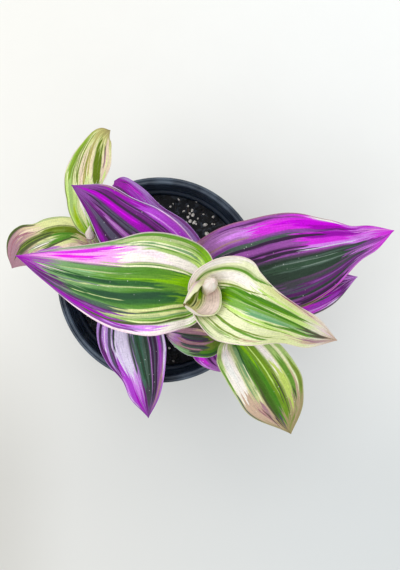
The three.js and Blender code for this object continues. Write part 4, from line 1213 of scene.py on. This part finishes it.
def blade_grid(leaf, rows, columns, vein_depth, veins):
    """Upper face of a blade, rows from base to tip and columns from the right margin to the left one.

    Each half of a cross row is an arc: it starts at the fold angle and turns through the curl angle from
    midrib to margin, and the whole row is rolled about the midrib. The base closes round the stem, its
    lobes reach back, and it rounds off to nothing. Veins are a cosine across each half, the midrib is a
    shallow groove, and the margins ripple.
    """
    shape = {**LEAF_DEFAULTS, **leaf}
    v = np.linspace(0, 1, rows + 1) ** ROW_CROWDING
    u = np.linspace(-1, 1, columns + 1)[None, :]
    station = curve_through(shape["stations"], v)
    step = 1e-3
    ahead = curve_through(shape["stations"], np.minimum(v + step, 1))[:, :3]
    behind = curve_through(shape["stations"], np.maximum(v - step, 0))[:, :3]
    along = unit(ahead - behind)
    level = unit(np.stack([-along[:, 1], along[:, 0], 0 * v], -1))
    roll = np.radians(curve_through(shape["roll"], v))
    across = level * np.cos(roll) + np.cross(along, level) * np.sin(roll)
    up = np.cross(along, across)
    rounding = np.sqrt(1 - np.maximum(1 - v / shape["rounding"], 0) ** 2)
    left, right = (np.maximum(station[:, k] * rounding, LEAST_HALF)[:, None] for k in (3, 4))
    fold = np.radians(curve_through(shape["fold"], v))
    clasping = 1 - smooth_step(v / shape["clasp_length"])[:, None]
    curl = np.radians(np.minimum(curve_through(shape["curl"], v) + shape["clasp"] * clasping, MOST_CURL))
    curl = np.where(np.abs(curl) < 1e-3, 1e-3, curl)
    reach, side = np.abs(u), np.sign(u)
    half = np.where(u > 0, left, right)
    angle = fold + curl * reach
    sideways = half * (np.sin(angle) - np.sin(fold)) / curl * side
    lift = half * (np.cos(fold) - np.cos(angle)) / curl
    back = (shape["lobe"] * np.maximum(1 - v / shape["lobe_length"], 0) ** 2 * rounding)[:, None] * reach**2
    points = (
        station[:, None, :3]
        + across[:, None] * sideways[..., None]
        + up[:, None] * lift[..., None]
        - along[:, None] * back[..., None]
    )
    normal = unit(np.cross(np.gradient(points, axis=0), np.gradient(points, axis=1)))
    facing = up[:, None] * np.cos(angle)[..., None] - across[:, None] * (np.sin(angle) * side)[..., None]
    for end in (0, -1):
        normal[end] = facing[end]
    fade = np.sin(np.pi * v)[:, None] ** 0.5
    relief = vein_depth / MM * np.cos(2 * np.pi * veins * reach**0.9)
    midrib = MIDRIB_DEPTH * np.exp(-((u / MIDRIB_WIDTH) ** 2))
    ripple = RIPPLE_HEIGHT * reach**3 * np.sin(2 * np.pi * RIPPLES * v[:, None] + 1.7 * side)
    points = points + normal * ((relief - midrib + ripple) * fade)[..., None]
    uv = np.stack(np.broadcast_arrays((u + 1) / 2, v[:, None]), -1)
    return points * MM, normal, uv


def sheet_faces(rows, columns):
    """Faces of a closed sheet whose upper grid of vertices comes first and its under grid second.

    The second list gives each face's material: 0 for the upper face and the edge, 1 for the under face.
    """
    count = rows * columns
    upper = grid_faces(rows, columns)
    under = grid_faces(rows, columns, start=count)[:, ::-1]
    number = np.arange(count).reshape(rows, columns)
    ring = np.concatenate([number[0, :-1], number[:-1, -1], number[-1, :0:-1], number[:0:-1, 0]])
    after = np.roll(ring, -1)
    edge = np.stack([ring, after, after + count, ring + count], -1)
    material = np.repeat([0, 1, 0], [len(upper), len(under), len(edge)])
    return np.concatenate([upper, under, edge]), material


def leaf_piece(key, settings, group):
    """One leaf: a blade as a closed sheet, thinner towards its margins, with its own striped finish."""
    leaf, pattern = LEAVES[key], PATTERNS[key]
    rows, columns = BLADE_GRID
    points, normal, uv = blade_grid(leaf, rows, columns, settings.vein_depth, settings.veins)
    reach = np.abs(uv[..., 0] * 2 - 1)
    thickness = settings.thickness * (1 - 0.45 * reach**5)
    under = points - normal * thickness[..., None]
    faces, material = sheet_faces(rows + 1, columns + 1)
    stations = np.array(leaf["stations"], float)
    width = float(stations[:, 3:].sum(1).max())
    length = float(np.linalg.norm(np.diff(stations[:, :3], axis=0), axis=1).sum())
    finishes = [
        blade_finish("upper face of " + key, pattern, width, length, settings.roughness, group),
        under_finish("under face of " + key, pattern["under"], width, length, settings.roughness + 0.08),
    ]
    both = np.stack([points, under])
    maps = np.stack([uv, uv])
    piece = new_piece("blade_" + key, both, faces, finishes, maps, material)
    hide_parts("leaf_" + key)


def sheath_piece(key, path, radius, finish, hair_finish, hairs):
    """The sheath round the stem below a blade, ribbed along, and the short hairs round its mouth.

    The wall is a closed loop carried along the stem: out of the stem at the foot, swelling to its full
    thickness, over the mouth's lip and back down inside.
    """
    leaf, slot = LEAVES[key], PATTERNS[key]["slot"]
    base = leaf["stations"][0][2]
    t = np.linspace(0, 1, len(path))
    ends = np.interp([base - leaf["sheath"], base + SHEATH_LIP], path[:, 2] / MM, t)
    span = np.linspace(*ends, SHEATH_STEPS)
    middle = np.stack([np.interp(span, t, path[:, k]) for k in range(3)], -1)
    stem = np.interp(span, t, radius)
    share = np.linspace(0, 1, len(span))
    ribs = 1 + 0.03 * np.cos(SHEATH_RIBS * full_turn(SHEATH_SIDES))[None, :]
    outside = (stem + SHEATH_SUNK + SHEATH_WALL * smooth_step(share * 3))[:, None] * ribs
    outer = tube_grid(middle, outside * MM, SHEATH_SIDES)
    inner = tube_grid(middle, (stem - SHEATH_SUNK) * MM, SHEATH_SIDES)[::-1]
    ring_piece("sheath_" + key, np.concatenate([outer, inner]), finish, ring=True, mapped=True)
    chance = np.random.default_rng(len(key) + int(base))
    around = chance.uniform(0, 2 * np.pi, hairs)
    mouth = tube_grid(middle[-2:], np.repeat((stem[-1] + HAIR_ROOT) * MM, 2), 360)[-1]
    roots = mouth[(around / (2 * np.pi) * 360).astype(int) % 360]
    axis = unit(middle[-1] - middle[-2])
    away = unit(roots - middle[-1])
    lean = unit(axis + away * chance.uniform(0.1, 0.9, (hairs, 1)) + chance.normal(0, 0.12, (hairs, 3)))
    tips = roots + lean * chance.uniform(0.9, 1.7, (hairs, 1)) * MM
    side = unit(np.cross(lean, away)) * HAIR_HALF * MM
    other = np.cross(lean, side)
    corners = np.stack([roots + side, roots - side + other, roots - other, tips], 1)
    shape = np.array([[0, 2, 1], [0, 1, 3], [1, 2, 3], [2, 0, 3]])
    faces = (np.arange(hairs)[:, None, None] * 4 + shape[None]).reshape(-1, 3)
    new_piece("hairs_" + key, corners, faces, [hair_finish])


def lump_template():
    """The twelve corners and twenty faces of a regular icosahedron of radius 1."""
    gold = (1 + math.sqrt(5)) / 2
    corners = [
        (-1, gold, 0), (1, gold, 0), (-1, -gold, 0), (1, -gold, 0),
        (0, -1, gold), (0, 1, gold), (0, -1, -gold), (0, 1, -gold),
        (gold, 0, -1), (gold, 0, 1), (-gold, 0, -1), (-gold, 0, 1),
    ]
    faces = [
        (0, 11, 5), (0, 5, 1), (0, 1, 7), (0, 7, 10), (0, 10, 11),
        (1, 5, 9), (5, 11, 4), (11, 10, 2), (10, 7, 6), (7, 1, 8),
        (3, 9, 4), (3, 4, 2), (3, 2, 6), (3, 6, 8), (3, 8, 9),
        (4, 9, 5), (2, 4, 11), (6, 2, 10), (8, 6, 7), (9, 8, 1),
    ]
    return unit(np.array(corners, float)), np.array(faces)


def lumps(places, sizes, seed, flatness):
    """Irregular grains: an icosahedron at each place, stretched, turned and dented at random."""
    chance = np.random.default_rng(seed)
    corners, faces = lump_template()
    count = len(places)
    shape = corners[None] * (1 + chance.uniform(-0.22, 0.22, (count, len(corners), 1)))
    shape = shape * chance.uniform(0.7, 1.15, (count, 1, 3))
    turn = chance.uniform(0, 2 * np.pi, count)[:, None]
    x = shape[..., 0] * np.cos(turn) - shape[..., 1] * np.sin(turn)
    y = shape[..., 0] * np.sin(turn) + shape[..., 1] * np.cos(turn)
    shape = np.stack([x, y, shape[..., 2] * flatness], -1)
    points = places[:, None] + shape * sizes[:, None, None]
    numbers = (np.arange(count)[:, None, None] * len(corners) + faces[None]).reshape(-1, 3)
    return points, numbers


def soil_height(x, y, level):
    """Height of the mix, in millimetres: broad rolls, middling lumps and fine crumbs over its level."""
    edge = np.clip(1 - (np.hypot(x, y) / 44.0) ** 8, 0, 1)
    broad = 0.6 * np.sin(0.21 * x + 0.8) * np.sin(0.19 * y + 1.9)
    return level + edge * (broad + 0.7 * uneven(x, y, 3, 9.0) + 0.35 * uneven(x, y, 5, 2.6, 3))


def soil_grid(level):
    """The mix as rings from the middle of its foot, out, up its side and in over its uneven top."""
    top, foot, bottom = 43.7, 36.0, 3.7
    radii = np.linspace(1, 0, 120) ** 0.8 * top
    profile = [(0.0, bottom), (foot, bottom)]
    for share in np.linspace(0.05, 0.99, 12):
        profile.append((foot + (top - foot) * share, bottom + (level - bottom) * share))
    profile += [(radius, level) for radius in radii]
    grid = lathe(profile, 240)
    upper = grid[-len(radii) :]
    upper[..., 2] = soil_height(upper[..., 0], upper[..., 1], level)
    return grid * MM


class PLANT_OT_pot(bpy.types.Operator):
    """Builds the pot's side and its floor with the drain holes"""

    bl_idname = "plant.pot"
    bl_label = "Pot"

    def execute(self, context):
        settings = context.scene.plant_pot
        finish = pot_finish(settings)
        shell = ring_piece("pot_shell", pot_shell(settings), finish, ring=True, sharp=40)
        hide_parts("pot")
        sectors = np.stack([pot_floor_sector(i) for i in range(DRAIN_HOLES)])
        rows, columns = sectors.shape[1:3]
        starts = range(0, DRAIN_HOLES * rows * columns, rows * columns)
        faces = np.concatenate([grid_faces(rows, columns, True, True, start)[:, ::-1] for start in starts])
        new_piece("pot_floor", sectors, faces, [finish], sharp=30)
        pad = [(0, 0), (7.8, 0), (8, 0.2), (8.5, FLOOR_FOOT), (8.5, FLOOR_TOP), (0, FLOOR_TOP)]
        ring_piece("pot_centre_pad", lathe(pad, 96) * MM, finish, sharp=30)
        return {"FINISHED"}


class PLANT_OT_soil(bpy.types.Operator):
    """Fills the pot with potting mix, crumbs and perlite"""

    bl_idname = "plant.soil"
    bl_label = "Potting mix"

    def execute(self, context):
        settings = context.scene.plant_soil
        level = settings.level / MM
        finish = soil_finish(settings.colour)
        soil = ring_piece("potting_mix", soil_grid(level), finish)
        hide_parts("soil")
        chance = np.random.default_rng(11)
        for name, count, small, large, material, flatness, seen in (
            ("peat_crumbs", settings.crumbs, 0.4, 1.5, finish, 0.7, []),
            ("perlite_grains", settings.grains, 0.55, 1.25, perlite_finish(), 0.9, SEEN_GRAINS),
        ):
            reach = GRAIN_REACH * np.sqrt(chance.uniform(0, 1, count))
            turn = chance.uniform(0, 2 * np.pi, count)
            sizes = small + (large - small) * chance.uniform(0, 1, count) ** 1.6
            grains = np.stack([reach * np.cos(turn), reach * np.sin(turn), sizes], -1)
            grains[: len(seen)] = np.reshape(seen, (-1, 3))
            x, y, sizes = grains.T
            places = np.stack([x, y, soil_height(x, y, level) + 0.25 * sizes], -1)
            points, faces = lumps(places, sizes, count, flatness)
            new_piece(name, points * MM, faces, [material], sharp=25)
        return {"FINISHED"}


class PLANT_OT_stems(bpy.types.Operator):
    """Builds the stems with their swollen nodes"""

    bl_idname = "plant.stems"
    bl_label = "Stems"

    def execute(self, context):
        for key, shoot in SHOOTS.items():
            path, radius = stem_shape(key)
            finish = stalk_finish("stem skin " + key, *shoot["tones"])
            grid = capped(tube_grid(path, radius * MM, STALK_SIDES))
            piece = ring_piece("stalk_" + key, grid, finish, mapped=True)
            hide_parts("stem_" + key)
        return {"FINISHED"}


class PLANT_OT_leaves(bpy.types.Operator):
    """Builds every leaf, its sheath and the hairs round the sheath's mouth"""

    bl_idname = "plant.leaves"
    bl_label = "Leaves"

    def execute(self, context):
        settings = context.scene.plant_leaves
        group = stripe_group()
        sheath = stalk_finish("sheath skin", "pale_sage", "mauve")
        hair = Finish("sheath hair", 0.5)
        hair.colour((0.78, 0.74, 0.72, 1))
        for key in LEAVES:
            leaf_piece(key, settings, group)
            sheath_piece(key, *stem_shape(key.split("_")[0]), sheath, hair.material, settings.hairs)
        return {"FINISHED"}


class PLANT_OT_buds(bpy.types.Operator):
    """Builds the rolled young leaf at the end of each shoot"""

    bl_idname = "plant.buds"
    bl_label = "Buds"

    def execute(self, context):
        for key, shoot in SHOOTS.items():
            t = np.linspace(0, 1, BUD_STEPS)
            path = curve_through(shoot["bud"], t) * MM
            radius = curve_through(shoot["bud_radius"], t)
            wrap = np.mod(full_turn(BUD_SIDES) - BUD_TWIST * t[:, None], 2 * np.pi) / (2 * np.pi)
            grid = capped(tube_grid(path, radius * (1 - BUD_STEP * wrap) * MM, BUD_SIDES))
            finish = stalk_finish("bud skin " + key, "shell", "disc_pink", 0.42)
            piece = ring_piece("rolled_leaf_" + key, grid, finish, mapped=True)
            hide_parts("bud_" + key)
        return {"FINISHED"}


class PLANT_OT_stage(bpy.types.Operator):
    """Sets up the floor, the lamps, the room light and the camera"""

    bl_idname = "plant.stage"
    bl_label = "Stage"

    def execute(self, context):
        scene = context.scene
        settings = scene.plant_stage
        side = np.linspace(-0.5, 0.5, 3) * settings.floor_size
        x, y = np.meshgrid(side, side, indexing="ij")
        corners = np.stack([x, y, np.full_like(x, FLOOR_HEIGHT)], -1).reshape(-1, 3)
        mesh = bpy.data.meshes.new("floor")
        mesh.from_pydata(corners.tolist(), [], grid_faces(3, 3).tolist())
        mesh.materials.append(floor_finish())
        floor = bpy.data.objects.new("floor", mesh)
        scene.collection.objects.link(floor)
        for name, power, size, place, tint in (
            ("key lamp", settings.key_power, 1.5, (-0.2, 0.75, 2.1), (1.0, 0.99, 0.975)),
            ("fill lamp", settings.fill_power, 1.4, (-1.05, -0.45, 1.7), (0.96, 0.98, 1.0)),
        ):
            lamp = bpy.data.lights.new(name, "AREA")
            lamp.shape = "SQUARE"
            lamp.size = size
            lamp.energy = power
            lamp.color = tint
            holder = bpy.data.objects.new(name, lamp)
            holder.location = place
            aim = np.array(LAMP_AIM) - np.array(place)
            tilt = math.atan2(math.hypot(aim[0], aim[1]), -aim[2])
            holder.rotation_euler = (tilt, 0, math.atan2(aim[1], aim[0]) - math.pi / 2)
            scene.collection.objects.link(holder)
        world = bpy.data.worlds.new("room light")
        world.use_nodes = True
        background = next(n for n in world.node_tree.nodes if n.type == "BACKGROUND")
        background.inputs["Color"].default_value = (0.985, 1.0, 0.975, 1)
        background.inputs["Strength"].default_value = settings.sky
        scene.world = world
        camera = bpy.data.cameras.new("camera")
        camera.sensor_width = 36
        camera.lens = CAMERA_LENS
        camera.clip_start = 0.01
        holder = bpy.data.objects.new("camera", camera)
        holder.location = (*CAMERA_OVER, settings.camera_height)
        scene.collection.objects.link(holder)
        scene.camera = holder
        scene.view_settings.view_transform = "Standard"
        return {"FINISHED"}


class PLANT_PT_panel(bpy.types.Panel):
    """Lists the steps that build the plant"""

    bl_idname = "PLANT_PT_panel"
    bl_label = "Potted Tradescantia"
    bl_space_type = "VIEW_3D"
    bl_region_type = "UI"
    bl_category = "Plant"

    def draw(self, context):
        for operator in OPERATORS:
            self.layout.operator(operator.bl_idname)


OPERATORS = (PLANT_OT_stage, PLANT_OT_pot, PLANT_OT_soil, PLANT_OT_stems, PLANT_OT_leaves, PLANT_OT_buds)
SETTINGS = {
    "plant_pot": PotSettings,
    "plant_soil": SoilSettings,
    "plant_leaves": LeafSettings,
    "plant_stage": StageSettings,
}


def register():
    """Registers the settings, the operators and the panel."""
    for name, group in SETTINGS.items():
        bpy.utils.register_class(group)
        setattr(bpy.types.Scene, name, bpy.props.PointerProperty(type=group))
    for cls in (*OPERATORS, PLANT_PT_panel):
        bpy.utils.register_class(cls)


def unregister():
    """Takes back everything that register added."""
    for cls in (PLANT_PT_panel, *reversed(OPERATORS)):
        bpy.utils.unregister_class(cls)
    for name, group in SETTINGS.items():
        delattr(bpy.types.Scene, name)
        bpy.utils.unregister_class(group)


def main():
    """Builds the plant and its stage."""
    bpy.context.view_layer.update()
    register()
    bpy.ops.plant.stage()
    bpy.ops.plant.pot()
    bpy.ops.plant.soil()
    bpy.ops.plant.stems()
    bpy.ops.plant.leaves()
    bpy.ops.plant.buds()


if __name__ == "__main__":
    main()
